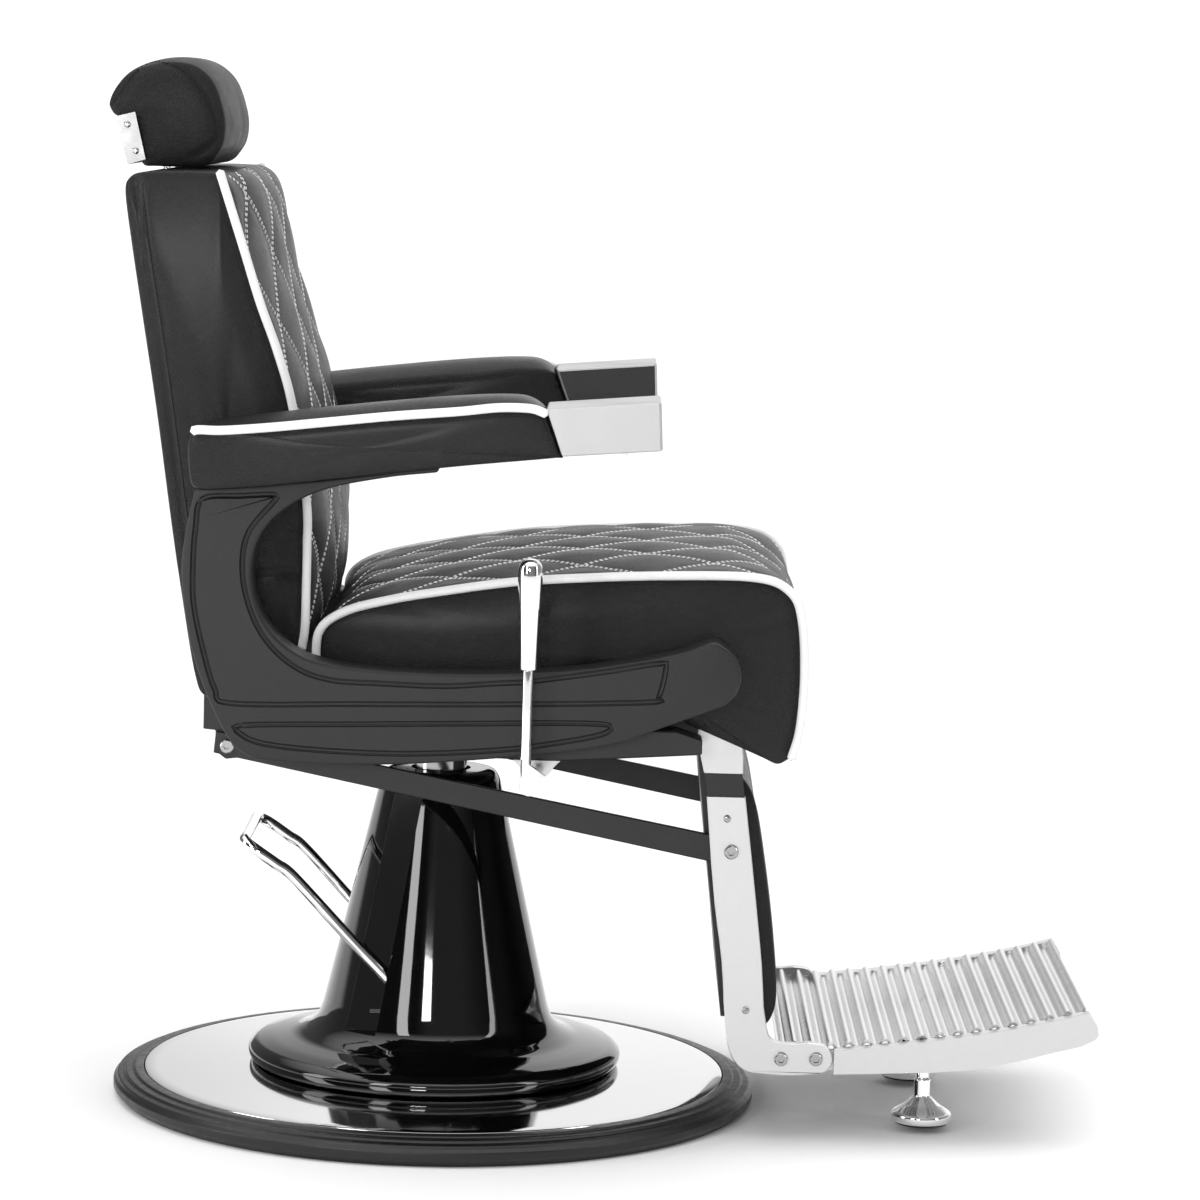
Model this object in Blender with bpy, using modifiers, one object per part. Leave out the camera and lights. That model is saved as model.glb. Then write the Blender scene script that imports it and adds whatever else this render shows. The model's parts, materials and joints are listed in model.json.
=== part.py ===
"""Hydraulic barber chair: round base, pump column, reclining seat, coupled legrest and headrest.

The sitter faces +X, +Y is the sitter's left and +Z is up. The origin is on the floor, on the
swivel axis. Lengths are in metres. Each moving group hangs from an empty on its joint's axis.
"""

import math

import bmesh
import bpy
from mathutils import Matrix, Vector

# Gap between pieces that touch in the real chair
GAP = 0.0003

# Round base and column
BASE_R = 0.330
DISC_R = 0.2985
DISC_EDGE_Z = 0.0278
DISC_HUB_Z = 0.043
DISC_HOLE_R = 0.060
COVER_BRIM_R = 0.192
COVER_TOP_Z = 0.3405
COVER_WALL = 0.0045
PUMP_R = 0.040
PUMP_TOP_Z = 0.310
RAM_R = 0.0265
RAM_TOP_Z = 0.3722
SEGMENTS = 48

# Foot pump
PEDAL_PIVOT = (-0.029, 0.118)
PEDAL_HALF = 0.085
PEDAL_ROD_R = 0.006
PEDAL_HUB_HALF = 0.008

# Seat
SEAT_HALF = 0.249
PAN_Z = (0.422, 0.428)
PAN_X = (-0.130, 0.235)
PAN_HALF = 0.235
RAIL_Y = (0.222, 0.2617)
FRAME_Y = (0.262, 0.310)
ARM_Y = (0.2535, 0.352)
NOSE_CENTRE = (0.264, 0.482)
NOSE_R = 0.0325

# Backrest and headrest
BACK_HALF = 0.243
RECLINE_PIVOT = (-0.165, 0.430)
BACK_TILT = math.radians(8.5)
POST_TOP = (-0.2925, 0.967)
POST_LENGTH = 0.165
POST_HALF = 0.0195
POST_THICK = 0.008
HEAD_HALF = 0.140

# Legrest and links
LEG_PIVOT = (0.275, 0.412)
LINK_REAR = (-0.204, 0.384)
LINK_FRONT = (0.295, 0.294)
POST_Y = (0.187, 0.197)
TOE_BOLT = (0.3850, 0.0887)
HEEL_BOLT = (0.3505, 0.0878)
LINK_Y = (0.1805, 0.1867)
BRACKET_Y = (0.172, 0.180)
EAR_Y = (0.160, 0.168)
CALF_HALF = 0.176
TREAD_HALF = 0.1802
TREAD_X = (0.346, 0.652)
TREAD_THICK = 0.004
SKIRT_Y = (0.1810, 0.1965)
TAB_Y = (0.1806, 0.1866)
WAVE_PITCH = 0.018
WAVE_HEIGHT = 0.0030
FOOT_X = 0.498
FOOT_Y = 0.106
STEM_R = 0.0062

# Recline lever
LEVER_PIVOT = (0.104, 0.380)
LEVER_Y = -0.335

SIDES = {"r": -1, "l": 1}


def material(name, colour, roughness, metallic=0.0):
    made = bpy.data.materials.new(name)
    made.use_nodes = True
    shader = made.node_tree.nodes["Principled BSDF"]
    shader.inputs["Base Color"].default_value = (*colour, 1.0)
    shader.inputs["Roughness"].default_value = roughness
    shader.inputs["Metallic"].default_value = metallic
    made.diffuse_color = (*colour, 1.0)
    return made


def clear_scene():
    for obj in list(bpy.data.objects):
        bpy.data.objects.remove(obj, do_unlink=True)


def new_object(name, mesh, finish, pivot=None):
    obj = bpy.data.objects.new(name, mesh)
    PARTS.objects.link(obj)
    if finish is not None:
        obj.data.materials.clear()
        obj.data.materials.append(finish)
    if pivot is not None:
        obj.parent = pivot
        obj.matrix_parent_inverse = pivot_world(pivot).inverted()
    return obj


def pivot_world(pivot):
    place = Matrix.Translation(pivot.location)
    return pivot_world(pivot.parent) @ place if pivot.parent else place


def make_pivot(name, place, parent=None):
    """An empty on a joint's axis. Its location is written relative to its parent."""
    empty = bpy.data.objects.new(name, None)
    empty.empty_display_size = 0.05
    PARTS.objects.link(empty)
    origin = pivot_world(parent).translation if parent else Vector((0, 0, 0))
    empty.location = Vector(place) - origin
    empty.parent = parent
    return empty


def finished(mesh):
    """Shades the round faces smooth and keeps the real edges crisp."""
    mesh.shade_smooth()
    mesh.set_sharp_from_angle(angle=math.radians(35))
    return mesh


def bake(obj):
    """The object's evaluated shape as a welded mesh in world space. The object is removed."""
    bpy.context.view_layer.update()
    evaluated = obj.evaluated_get(bpy.context.evaluated_depsgraph_get())
    mesh = bpy.data.meshes.new_from_object(evaluated)
    mesh.transform(obj.matrix_world)
    bpy.data.objects.remove(obj, do_unlink=True)
    shape = bmesh.new()
    shape.from_mesh(mesh)
    bmesh.ops.remove_doubles(shape, verts=shape.verts, dist=1e-5)
    bmesh.ops.recalc_face_normals(shape, faces=shape.faces)
    shape.to_mesh(mesh)
    shape.free()
    return finished(mesh)


def outline_curve(points, half):
    """A flat outline in XZ, extruded by half each way in Y. A third value of 1 marks a corner."""
    data = bpy.data.curves.new("outline", "CURVE")
    data.dimensions = "2D"
    data.fill_mode = "BOTH"
    data.extrude = half
    data.resolution_u = 3
    spline = data.splines.new("BEZIER")
    spline.bezier_points.add(len(points) - 1)
    for knot, point in zip(spline.bezier_points, points):
        knot.co = (point[0], point[1], 0)
        kind = "VECTOR" if len(point) > 2 else "AUTO"
        knot.handle_left_type = kind
        knot.handle_right_type = kind
    spline.use_cyclic_u = True
    obj = bpy.data.objects.new("outline", data)
    PARTS.objects.link(obj)
    obj.rotation_euler = (math.pi / 2, 0, 0)
    return obj


def prism_mesh(points, y_low, y_high):
    obj = outline_curve(points, abs(y_high - y_low) / 2)
    obj.location.y = (y_low + y_high) / 2
    return bake(obj)


def corner(*points):
    """Marks every point of an outline as a sharp corner."""
    return [(x, z, 1) for x, z in points]


def arc(centre, radius, start, end, count):
    """Points on an arc in XZ, with angles in degrees from +X towards +Z."""
    made = []
    for step in range(count):
        angle = math.radians(start + (end - start) * step / (count - 1))
        made.append((centre[0] + radius * math.cos(angle), centre[1] + radius * math.sin(angle)))
    return made


def prism(name, points, y_range, finish, pivot, bevel=0.0, segments=2):
    """A prism along Y between the two values of y_range, with its edges rounded by bevel."""
    low, high = sorted(y_range)
    obj = new_object(name, prism_mesh(points, low, high), finish, pivot)
    if bevel:
        add_bevel(obj, bevel, segments)
    return obj


def add_bevel(obj, width, segments=2, angle=40):
    modifier = obj.modifiers.new("rounded edges", "BEVEL")
    modifier.width = width
    modifier.segments = segments
    modifier.limit_method = "ANGLE"
    modifier.angle_limit = math.radians(angle)
    modifier.harden_normals = False


def side_range(side, y_range):
    return (side * y_range[0], side * y_range[1])


def box_mesh(low, high):
    shape = bmesh.new()
    size = Vector(high) - Vector(low)
    middle = (Vector(high) + Vector(low)) / 2
    bmesh.ops.create_cube(shape, size=1.0, matrix=Matrix.Translation(middle) @ Matrix.Diagonal((*size, 1)))
    mesh = bpy.data.meshes.new("box")
    shape.to_mesh(mesh)
    shape.free()
    return mesh


def hull_mesh(points):
    """The convex block around the points, for tapered cutters."""
    shape = bmesh.new()
    for point in points:
        shape.verts.new(point)
    bmesh.ops.convex_hull(shape, input=shape.verts)
    bmesh.ops.recalc_face_normals(shape, faces=shape.faces)
    mesh = bpy.data.meshes.new("hull")
    shape.to_mesh(mesh)
    shape.free()
    return mesh


def cylinder_mesh(start, end, radius, end_radius=None, sides=24):
    """A cylinder or cone between two points."""
    start, end = Vector(start), Vector(end)
    axis = end - start
    turn = axis.to_track_quat("Z", "Y").to_matrix().to_4x4()
    shape = bmesh.new()
    bmesh.ops.create_cone(
        shape,
        cap_ends=True,
        segments=sides,
        radius1=radius,
        radius2=radius if end_radius is None else end_radius,
        depth=axis.length,
        matrix=Matrix.Translation((start + end) / 2) @ turn,
    )
    mesh = bpy.data.meshes.new("cylinder")
    shape.to_mesh(mesh)
    shape.free()
    return finished(mesh)


def turned_mesh(profile, steps=SEGMENTS, centre=(0, 0)):
    """A profile of (radius, z) points, outer side from top to bottom, turned about an upright axis."""
    shape = bmesh.new()
    points = [shape.verts.new((r, 0, z)) for r, z in profile]
    pairs = list(zip(points, points[1:]))
    if profile[0][0] > 0 and profile[-1][0] > 0:
        pairs.append((points[-1], points[0]))
    for first, second in pairs:
        shape.edges.new((first, second))
    mesh = bpy.data.meshes.new("profile")
    shape.to_mesh(mesh)
    shape.free()
    obj = bpy.data.objects.new("profile", mesh)
    PARTS.objects.link(obj)
    obj.location = (centre[0], centre[1], 0)
    screw = obj.modifiers.new("turn", "SCREW")
    screw.axis = "Z"
    screw.steps = steps
    screw.render_steps = steps
    screw.use_merge_vertices = True
    screw.merge_threshold = 1e-5
    return bake(obj)


def tube_mesh(points, radius, sides=4, smooth=True):
    """A round rod through the points, with closed ends."""
    data = bpy.data.curves.new("rod", "CURVE")
    data.dimensions = "3D"
    data.bevel_depth = radius
    data.bevel_resolution = sides
    data.use_fill_caps = True
    data.resolution_u = 4
    spline = data.splines.new("BEZIER")
    spline.bezier_points.add(len(points) - 1)
    for knot, place in zip(spline.bezier_points, points):
        knot.co = place
        knot.handle_left_type = "AUTO" if smooth else "VECTOR"
        knot.handle_right_type = "AUTO" if smooth else "VECTOR"
    obj = bpy.data.objects.new("rod", data)
    PARTS.objects.link(obj)
    return bake(obj)


def combined(mesh, others, operation):
    """The mesh after a Boolean with each of the others. Its operands are kept as hidden helpers."""
    for other in others:
        helper = bpy.data.objects.new("helper", other)
        HELPERS.objects.link(helper)
        helper.hide_render = True
        helper.display_type = "WIRE"
        target = bpy.data.objects.new("target", mesh)
        PARTS.objects.link(target)
        cut = target.modifiers.new("boolean", "BOOLEAN")
        cut.operation = operation
        cut.solver = "EXACT"
        cut.object = helper
        mesh = bake(target)
    return mesh


# ---------------------------------------------------------------- base


def disc_z(radius):
    """Height of the polished disc's top at a radius: a shallow dome from its edge to its hub."""
    reach = (DISC_R - radius) / (DISC_R - DISC_HOLE_R)
    return DISC_EDGE_Z + (DISC_HUB_Z - DISC_EDGE_Z) * reach


def make_base():
    rim = DISC_R - GAP
    plate = [(0.0, 0.010), (0.284, 0.010), (0.286, 0.0225), (rim, 0.0225), (rim, 0.0), (0.0, 0.0)]
    new_object("base_plate", turned_mesh(plate), STEEL_BLACK)

    inner = DISC_R + 0.0005
    ring = [
        (inner, 0.0275),
        (0.3085, 0.0270),
        (0.3100, 0.0250),
        (0.3175, 0.0245),
        (0.3190, 0.0220),
        (0.3255, 0.0210),
        (0.3270, 0.0180),
        (BASE_R, 0.0150),
        (BASE_R, 0.0080),
        (0.3220, 0.0),
        (inner, 0.0),
    ]
    new_object("base_rubber_ring", turned_mesh(ring), RUBBER)

    disc = [
        (DISC_HOLE_R, DISC_HUB_Z),
        (0.12, disc_z(0.12)),
        (0.20, disc_z(0.20)),
        (DISC_R - 0.003, disc_z(DISC_R - 0.003)),
        (DISC_R, DISC_EDGE_Z - 0.002),
        (DISC_R, 0.0228),
        (DISC_R - 0.010, 0.0228),
        (0.20, disc_z(0.20) - 0.003),
        (DISC_HOLE_R, DISC_HUB_Z - 0.003),
    ]
    new_object("base_disc", turned_mesh(disc), CHROME)


def cover_radius(z):
    """Radius of the column's straight taper at a height."""
    return 0.0596 + (0.337 - z) * 0.2315


def cover_cutter(side, shrink):
    """The tapered block that is taken off the column beside each pump arm."""
    low_z, high_z = 0.080 - shrink, 0.345
    low_x, high_x = -0.0565 + shrink, -0.0110 + shrink
    low_y, high_y = 0.0805 - shrink, 0.0420 - shrink
    far_x, far_y = -0.30, 0.20
    points = []
    for z, x, y in ((low_z, low_x, low_y), (high_z, high_x, high_y)):
        for px in (far_x, x):
            for py in (y, far_y):
                points.append((px, side * py, z))
    return hull_mesh(points)


def make_column():
    foot_z = disc_z(0.178) + GAP
    outer = [(0.0, COVER_TOP_Z), (0.0500, COVER_TOP_Z), (0.0565, 0.3380), (cover_radius(0.330), 0.330)]
    outer += [(cover_radius(z), z) for z in (0.26, 0.18, 0.094)]
    outer += [
        (0.1205, 0.0810),
        (0.1290, 0.0720),
        (0.1440, 0.0645),
        (0.1680, 0.0600),
        (0.1850, 0.0555),
        (COVER_BRIM_R, 0.0490),
        (0.1905, 0.0420),
        (0.1860, foot_z),
        (0.0, foot_z),
    ]
    solid = turned_mesh(outer, steps=SEGMENTS)
    solid = combined(solid, [cover_cutter(side, 0) for side in SIDES.values()], "DIFFERENCE")

    hollow_top = COVER_TOP_Z - COVER_WALL
    hollow = [(0.0, hollow_top), (cover_radius(hollow_top) - 0.009, hollow_top)]
    hollow += [(cover_radius(z) - COVER_WALL, z) for z in (0.26, 0.18, 0.094)]
    hollow += [(0.1250, 0.0680), (0.1450, 0.0590), (0.1800, 0.0500), (0.1790, 0.010), (0.0, 0.010)]
    inside = turned_mesh(hollow, steps=SEGMENTS)
    inside = combined(inside, [cover_cutter(side, COVER_WALL) for side in SIDES.values()], "DIFFERENCE")
    solid = combined(solid, [inside], "DIFFERENCE")

    slots = []
    for side in SIDES.values():
        edges = sorted((side * (PEDAL_HALF - 0.0078), side * (PEDAL_HALF + 0.0078)))
        slots.append(box_mesh((-0.064, edges[0], 0.098), (-0.030, edges[1], 0.160)))
    ram_hole = cylinder_mesh((0, 0, 0.30), (0, 0, 0.36), RAM_R + 0.004, sides=SEGMENTS)
    new_object("column_cover", combined(solid, slots + [ram_hole], "DIFFERENCE"), PIANO_BLACK)


def make_pump():
    bore = RAM_R + 0.0006
    profile = [
        (0.0, PUMP_TOP_Z),
        (PUMP_R - 0.003, PUMP_TOP_Z),
        (PUMP_R, PUMP_TOP_Z - 0.003),
        (PUMP_R, 0.030),
        (0.054, 0.026),
        (0.054, 0.0103),
        (0.0, 0.0103),
    ]
    body = turned_mesh(profile, steps=48)
    hole = cylinder_mesh((0, 0, 0.050), (0, 0, 0.36), bore, sides=48)
    body = combined(body, [hole], "DIFFERENCE")
    x, z = PEDAL_PIVOT
    stubs = []
    for side in SIDES.values():
        end = PEDAL_HALF - PEDAL_HUB_HALF - GAP
        stubs.append(cylinder_mesh((x, side * 0.030, z), (x, side * end, z), 0.006, sides=16))
    new_object("pump_body", combined(body, stubs, "UNION"), STEEL_BLACK)


def make_ram(pivot):
    mesh = cylinder_mesh((0, 0, 0.060), (0, 0, RAM_TOP_Z), RAM_R, sides=48)
    new_object("ram", mesh, CHROME, pivot)


def make_pedal(pivot):
    """A U of polished rod whose two arms end in hubs on the pump's side pins."""
    x, z = PEDAL_PIVOT
    side_path = [(x, z), (-0.088, 0.178), (-0.143, 0.2365), (-0.161, 0.2495), (-0.186, 0.2660)]
    cross_path = [(-0.1945, 0.2715, -PEDAL_HALF + 0.012), (-0.1945, 0.2715, PEDAL_HALF - 0.012)]
    points = [(px, -PEDAL_HALF, pz) for px, pz in side_path]
    points += [(px, py, pz) for px, pz, py in cross_path]
    points += [(px, PEDAL_HALF, pz) for px, pz in reversed(side_path)]
    rod = tube_mesh(points, PEDAL_ROD_R, sides=2)
    hubs = []
    for side in SIDES.values():
        near, far = (side * (PEDAL_HALF + half) for half in (-PEDAL_HUB_HALF, PEDAL_HUB_HALF))
        hubs.append(cylinder_mesh((x, near, z), (x, far, z), 0.0105, sides=20))
    new_object("pump_pedal", combined(rod, hubs, "UNION"), CHROME, pivot)


# ---------------------------------------------------------------- seat


def make_seat_structure(pivot):
    socket = [
        (0.0, PAN_Z[0] - GAP),
        (0.085, PAN_Z[0] - GAP),
        (0.085, PAN_Z[0] - 0.009),
        (0.040, PAN_Z[0] - 0.013),
        (0.034, RAM_TOP_Z + GAP),
        (0.0, RAM_TOP_Z + GAP),
    ]
    new_object("ram_socket", turned_mesh(socket, steps=40), STEEL_BLACK, pivot)
    pan = box_mesh((PAN_X[0], -PAN_HALF, PAN_Z[0]), (PAN_X[1], PAN_HALF, PAN_Z[1]))
    new_object("seat_pan", pan, STEEL_BLACK, pivot)
    rail = [(-0.120, 0.392), (0.130, 0.3895), (0.262, 0.399), (0.262, 0.413)]
    rail += [(0.235, 0.4217), (-0.120, 0.4217)]
    for tag, side in SIDES.items():
        prism("under_rail_" + tag, corner(*rail), side_range(side, RAIL_Y), STEEL_BLACK, pivot, 0.0015, 1)


def make_axles(pivot):
    """The recline axle and the legrest axle, each welded to two ears that hang from the seat pan."""
    x, z = RECLINE_PIVOT
    reach = BRACKET_Y[0] - GAP
    rod = cylinder_mesh((x, -reach, z), (x, reach, z), 0.006, sides=16)
    plate = corner(
        (-0.128, 0.4217),
        (-0.133, 0.4217),
        (-0.152, 0.4340),
        (-0.176, 0.4340),
        (-0.176, 0.4240),
        (-0.165, 0.4180),
        (-0.128, 0.4060),
    )
    ears = [prism_mesh(plate, *sorted(side_range(side, EAR_Y))) for side in SIDES.values()]
    new_object("recline_axle", combined(rod, ears, "UNION"), STEEL_BLACK, pivot)

    x, z = LEG_PIVOT
    reach = POST_Y[0] - GAP
    rod = cylinder_mesh((x, -reach, z), (x, reach, z), 0.006, sides=16)
    plate = corner((0.200, 0.4217), (0.200, 0.4120), (0.262, 0.4010), (0.286, 0.4010), (0.286, 0.4217))
    ears = [prism_mesh(plate, *sorted(side_range(side, EAR_Y))) for side in SIDES.values()]
    new_object("legrest_axle", combined(rod, ears, "UNION"), STEEL_BLACK, pivot)


def side_frame_outline():
    """The moulded side frame: a long lower arm with a round nose, and a C that rises to the armrest."""
    back = [(-0.2285, 0.6490, 1), (-0.2370, 0.6060), (-0.2400, 0.5650), (-0.2330, 0.5100), (-0.2180, 0.4610)]
    heel = [(-0.1960, 0.4150), (-0.1780, 0.3960), (-0.1500, 0.3885), (-0.0500, 0.3880)]
    belly = [(0.0620, 0.3970), (0.1670, 0.4120), (0.2280, 0.4335)]
    nose = arc(NOSE_CENTRE, NOSE_R, -80, 85, 6)
    top = [(0.2380, 0.5035), (0.1860, 0.4920), (0.1260, 0.4830), (0.0450, 0.4780), (-0.0410, 0.4785)]
    hollow = [(-0.1050, 0.4850), (-0.1400, 0.5010), (-0.1640, 0.5300), (-0.1730, 0.5680), (-0.1660, 0.6040)]
    hollow += [(-0.1430, 0.6310), (-0.1050, 0.6510), (-0.0470, 0.6640), (0.0030, 0.6705, 1)]
    under_arm = [(0.0030, 0.6770, 1), (-0.1100, 0.6610, 1), (-0.1720, 0.6540, 1)]
    return back + heel + belly + nose + top + hollow + under_arm


def make_side_frames(pivot):
    outline = side_frame_outline()
    for tag, side in SIDES.items():
        prism("side_frame_" + tag, outline, side_range(side, FRAME_Y), MATTE_BLACK, pivot, 0.003, 1)


def make_arms(pivot):
    pad = [
        (-0.2280, 0.6600),
        (-0.2240, 0.6530, 1),
        (-0.1720, 0.6555, 1),
        (-0.1100, 0.6630, 1),
        (0.0240, 0.6805, 1),
        (0.1190, 0.6912, 1),
        (0.1030, 0.7340, 1),
        (0.0970, 0.7440),
        (0.0800, 0.7500),
        (0.0210, 0.7470),
        (-0.0920, 0.7340),
        (-0.1940, 0.7190),
        (-0.2270, 0.7110),
        (-0.2320, 0.7000),
    ]
    front = corner((0.1040, 0.7365), (0.1200, 0.6922), (0.2145, 0.7000), (0.2120, 0.7460))
    for tag, side in SIDES.items():
        prism("arm_pad_" + tag, pad, side_range(side, ARM_Y), LEATHER, pivot, 0.006, 2)
        prism("arm_front_" + tag, front, side_range(side, ARM_Y), CHROME, pivot, 0.002, 2)


def make_seat_cushion(pivot):
    """The cushion's front rolls down over the legrest hinge, and a recess under it clears the posts."""
    outline = [
        (-0.1140, 0.4900),
        (-0.1080, 0.5120),
        (-0.0790, 0.5310),
        (-0.0100, 0.5490),
        (0.0760, 0.5640),
        (0.1630, 0.5730),
        (0.2500, 0.5775),
        (0.3120, 0.5735),
        (0.3450, 0.5560),
        (0.3560, 0.5200),
        (0.3580, 0.4640),
        (0.3540, 0.4200),
        (0.3460, 0.3930),
        (0.3340, 0.3885),
        (0.2450, 0.4260, 1),
        (0.2380, 0.4284, 1),
        (-0.0950, 0.4284, 1),
        (-0.1080, 0.4400),
    ]
    solid = prism_mesh(outline, -SEAT_HALF, SEAT_HALF)
    recess = box_mesh((0.2380, -0.206, 0.380), (0.3180, 0.206, 0.4380))
    obj = new_object("seat_cushion", combined(solid, [recess], "DIFFERENCE"), LEATHER, pivot)
    add_bevel(obj, 0.006, 2, 60)


def make_lever_bracket(pivot):
    """A half-round plate under the right rail that carries the lever's shaft."""
    x, top = LEVER_PIVOT[0] - 0.002, 0.3892
    plate = [(x - 0.023, top, 1)] + arc((x, top), 0.0180, 200, 340, 6) + [(x + 0.023, top, 1)]
    prism("lever_bracket", plate, (-0.2540, -0.2600), ALUMINIUM, pivot)


def make_lever(pivot):
    """A polished rod with a tapered lug at its foot, turning on a short shaft towards the seat."""
    x, z = LEVER_PIVOT
    rod = cylinder_mesh((0.0930, LEVER_Y, 0.372), (0.0930, LEVER_Y, 0.4868), 0.0052, sides=16)
    lug = prism_mesh(
        corner((0.0885, 0.3690), (0.0965, 0.3665), (0.1125, 0.3770), (0.1115, 0.3865), (0.0885, 0.4020)),
        LEVER_Y - 0.0045,
        LEVER_Y + 0.0045,
    )
    shaft = cylinder_mesh((x, LEVER_Y, z), (x, -0.2603, z), 0.0055, sides=16)
    new_object("recline_lever", combined(rod, [lug, shaft], "UNION"), CHROME, pivot)
    grip = [(0.0, 0.5940), (0.0070, 0.5925), (0.0112, 0.5870), (0.0120, 0.5760)]
    grip += [(0.0085, 0.4880), (0.0075, 0.4871), (0.0, 0.4871)]
    mesh = turned_mesh(grip, steps=24, centre=(0.0930, LEVER_Y))
    new_object("lever_grip", mesh, CHROME, pivot)


# ---------------------------------------------------------------- backrest and headrest


def along_post(distance, offset=0.0):
    """A point below the headrest pivot, down the tilted post, moved forward by offset."""
    x = POST_TOP[0] + distance * math.sin(BACK_TILT) + offset * math.cos(BACK_TILT)
    z = POST_TOP[1] - distance * math.cos(BACK_TILT) + offset * math.sin(BACK_TILT)
    return (x, z)


def post_strip(half_thick, start, end):
    """The post's outline, with a little clearance where half_thick is wider than the bar."""
    return corner(
        along_post(start, -half_thick),
        along_post(end, -half_thick),
        along_post(end, half_thick),
        along_post(start, half_thick),
    )


def make_backrest(pivot):
    outline = [
        (-0.2220, 0.4370, 1),
        (-0.2340, 0.4600),
        (-0.2470, 0.5420),
        (-0.2580, 0.6110),
        (-0.2730, 0.7130),
        (-0.2880, 0.8040),
        (-0.3010, 0.8800),
        (-0.3080, 0.9300),
        (-0.3010, 0.9430),
        (-0.2880, 0.9460, 1),
        (-0.2120, 0.9470, 1),
        (-0.1930, 0.9370),
        (-0.1820, 0.9100),
        (-0.1670, 0.8430),
        (-0.1520, 0.7950),
        (-0.1330, 0.7330),
        (-0.1130, 0.6400),
        (-0.1100, 0.5900),
        (-0.1150, 0.5300),
        (-0.1260, 0.4950),
        (-0.1340, 0.4830, 1),
        (-0.1900, 0.4405, 1),
    ]
    solid = prism_mesh(outline, -BACK_HALF, BACK_HALF)
    slot_half = POST_HALF + 0.0006
    slot = prism_mesh(post_strip(POST_THICK / 2 + 0.0006, -0.05, POST_LENGTH + 0.004), -slot_half, slot_half)
    obj = new_object("back_cushion", combined(solid, [slot], "DIFFERENCE"), LEATHER, pivot)
    add_bevel(obj, 0.005, 2, 60)

    plate = corner(
        (-0.2285, 0.4345),
        (-0.2285, 0.3995),
        (-0.2165, 0.3985),
        (-0.2165, 0.3780),
        (-0.2060, 0.3700),
        (-0.1900, 0.3720),
        (-0.1540, 0.4190),
        (-0.1530, 0.4370),
        (-0.1640, 0.4480),
        (-0.1915, 0.4380),
        (-0.2200, 0.4345),
    )
    for tag, side in SIDES.items():
        prism("back_bracket_" + tag, plate, side_range(side, BRACKET_Y), STEEL_BLACK, pivot, 0.0008, 1)


def make_headrest_post(pivot):
    bar = prism_mesh(post_strip(POST_THICK / 2, 0.002, POST_LENGTH), -POST_HALF, POST_HALF)
    x, z = POST_TOP
    knuckle = cylinder_mesh((x, -POST_HALF, z), (x, POST_HALF, z), 0.0080, sides=24)
    new_object("headrest_post", combined(bar, [knuckle], "UNION"), CHROME, pivot)


def make_headrest(pivot):
    """The pad, whose back is notched for a channel bracket with two ears on the post's knuckle."""
    outline = [
        (-0.3150, 1.0005, 1),
        (-0.3290, 1.0005, 1),
        (-0.3385, 1.0120),
        (-0.3300, 1.0340),
        (-0.3040, 1.0510),
        (-0.2680, 1.0570),
        (-0.2380, 1.0480),
        (-0.2210, 1.0200),
        (-0.2150, 0.9900),
        (-0.2210, 0.9680),
        (-0.2440, 0.9515, 1),
        (-0.2900, 0.9510, 1),
        (-0.3020, 0.9530, 1),
    ]
    solid = prism_mesh(outline, -HEAD_HALF, HEAD_HALF)
    notch = box_mesh((-0.330, -0.034, 0.935), (-0.274, 0.034, 0.992))
    obj = new_object("headrest_cushion", combined(solid, [notch], "DIFFERENCE"), LEATHER, pivot)
    add_bevel(obj, 0.006, 2, 60)

    web = corner((-0.3280, 0.9970), (-0.3250, 0.9978), (-0.3125, 0.9515), (-0.3155, 0.9505))
    flange = corner((-0.3280, 0.9970), (-0.3090, 1.0020), (-0.2980, 0.9560), (-0.3155, 0.9505))
    x, z = POST_TOP
    ear = corner((-0.3220, 0.9820), (x, z + 0.009), (x + 0.008, z), (x, z - 0.009), (-0.3160, 0.9600))
    outer = HEAD_HALF + GAP
    bracket = prism_mesh(web, -outer - 0.003, outer + 0.003)
    pieces = []
    for side in SIDES.values():
        pieces.append(prism_mesh(flange, *sorted((side * outer, side * (outer + 0.003)))))
        pieces.append(prism_mesh(ear, *sorted((side * (POST_HALF + GAP), side * (POST_HALF + 0.005)))))
    new_object("headrest_bracket", combined(bracket, pieces, "UNION"), CHROME, pivot)


# ---------------------------------------------------------------- legrest


def post_edges():
    """The L-shaped post's rear and front edges, from its top to its foot."""
    rear = [(0.2605, 0.4230), (0.2660, 0.3715), (0.2693, 0.3490)]
    rear += [(0.2800, 0.2430), (0.2890, 0.1830), (0.2945, 0.1200)]
    front = [(0.2990, 0.4200), (0.3043, 0.3715), (0.3073, 0.3490)]
    front += [(0.3212, 0.2430), (0.3285, 0.1830), (0.3355, 0.1190)]
    return rear, front


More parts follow.
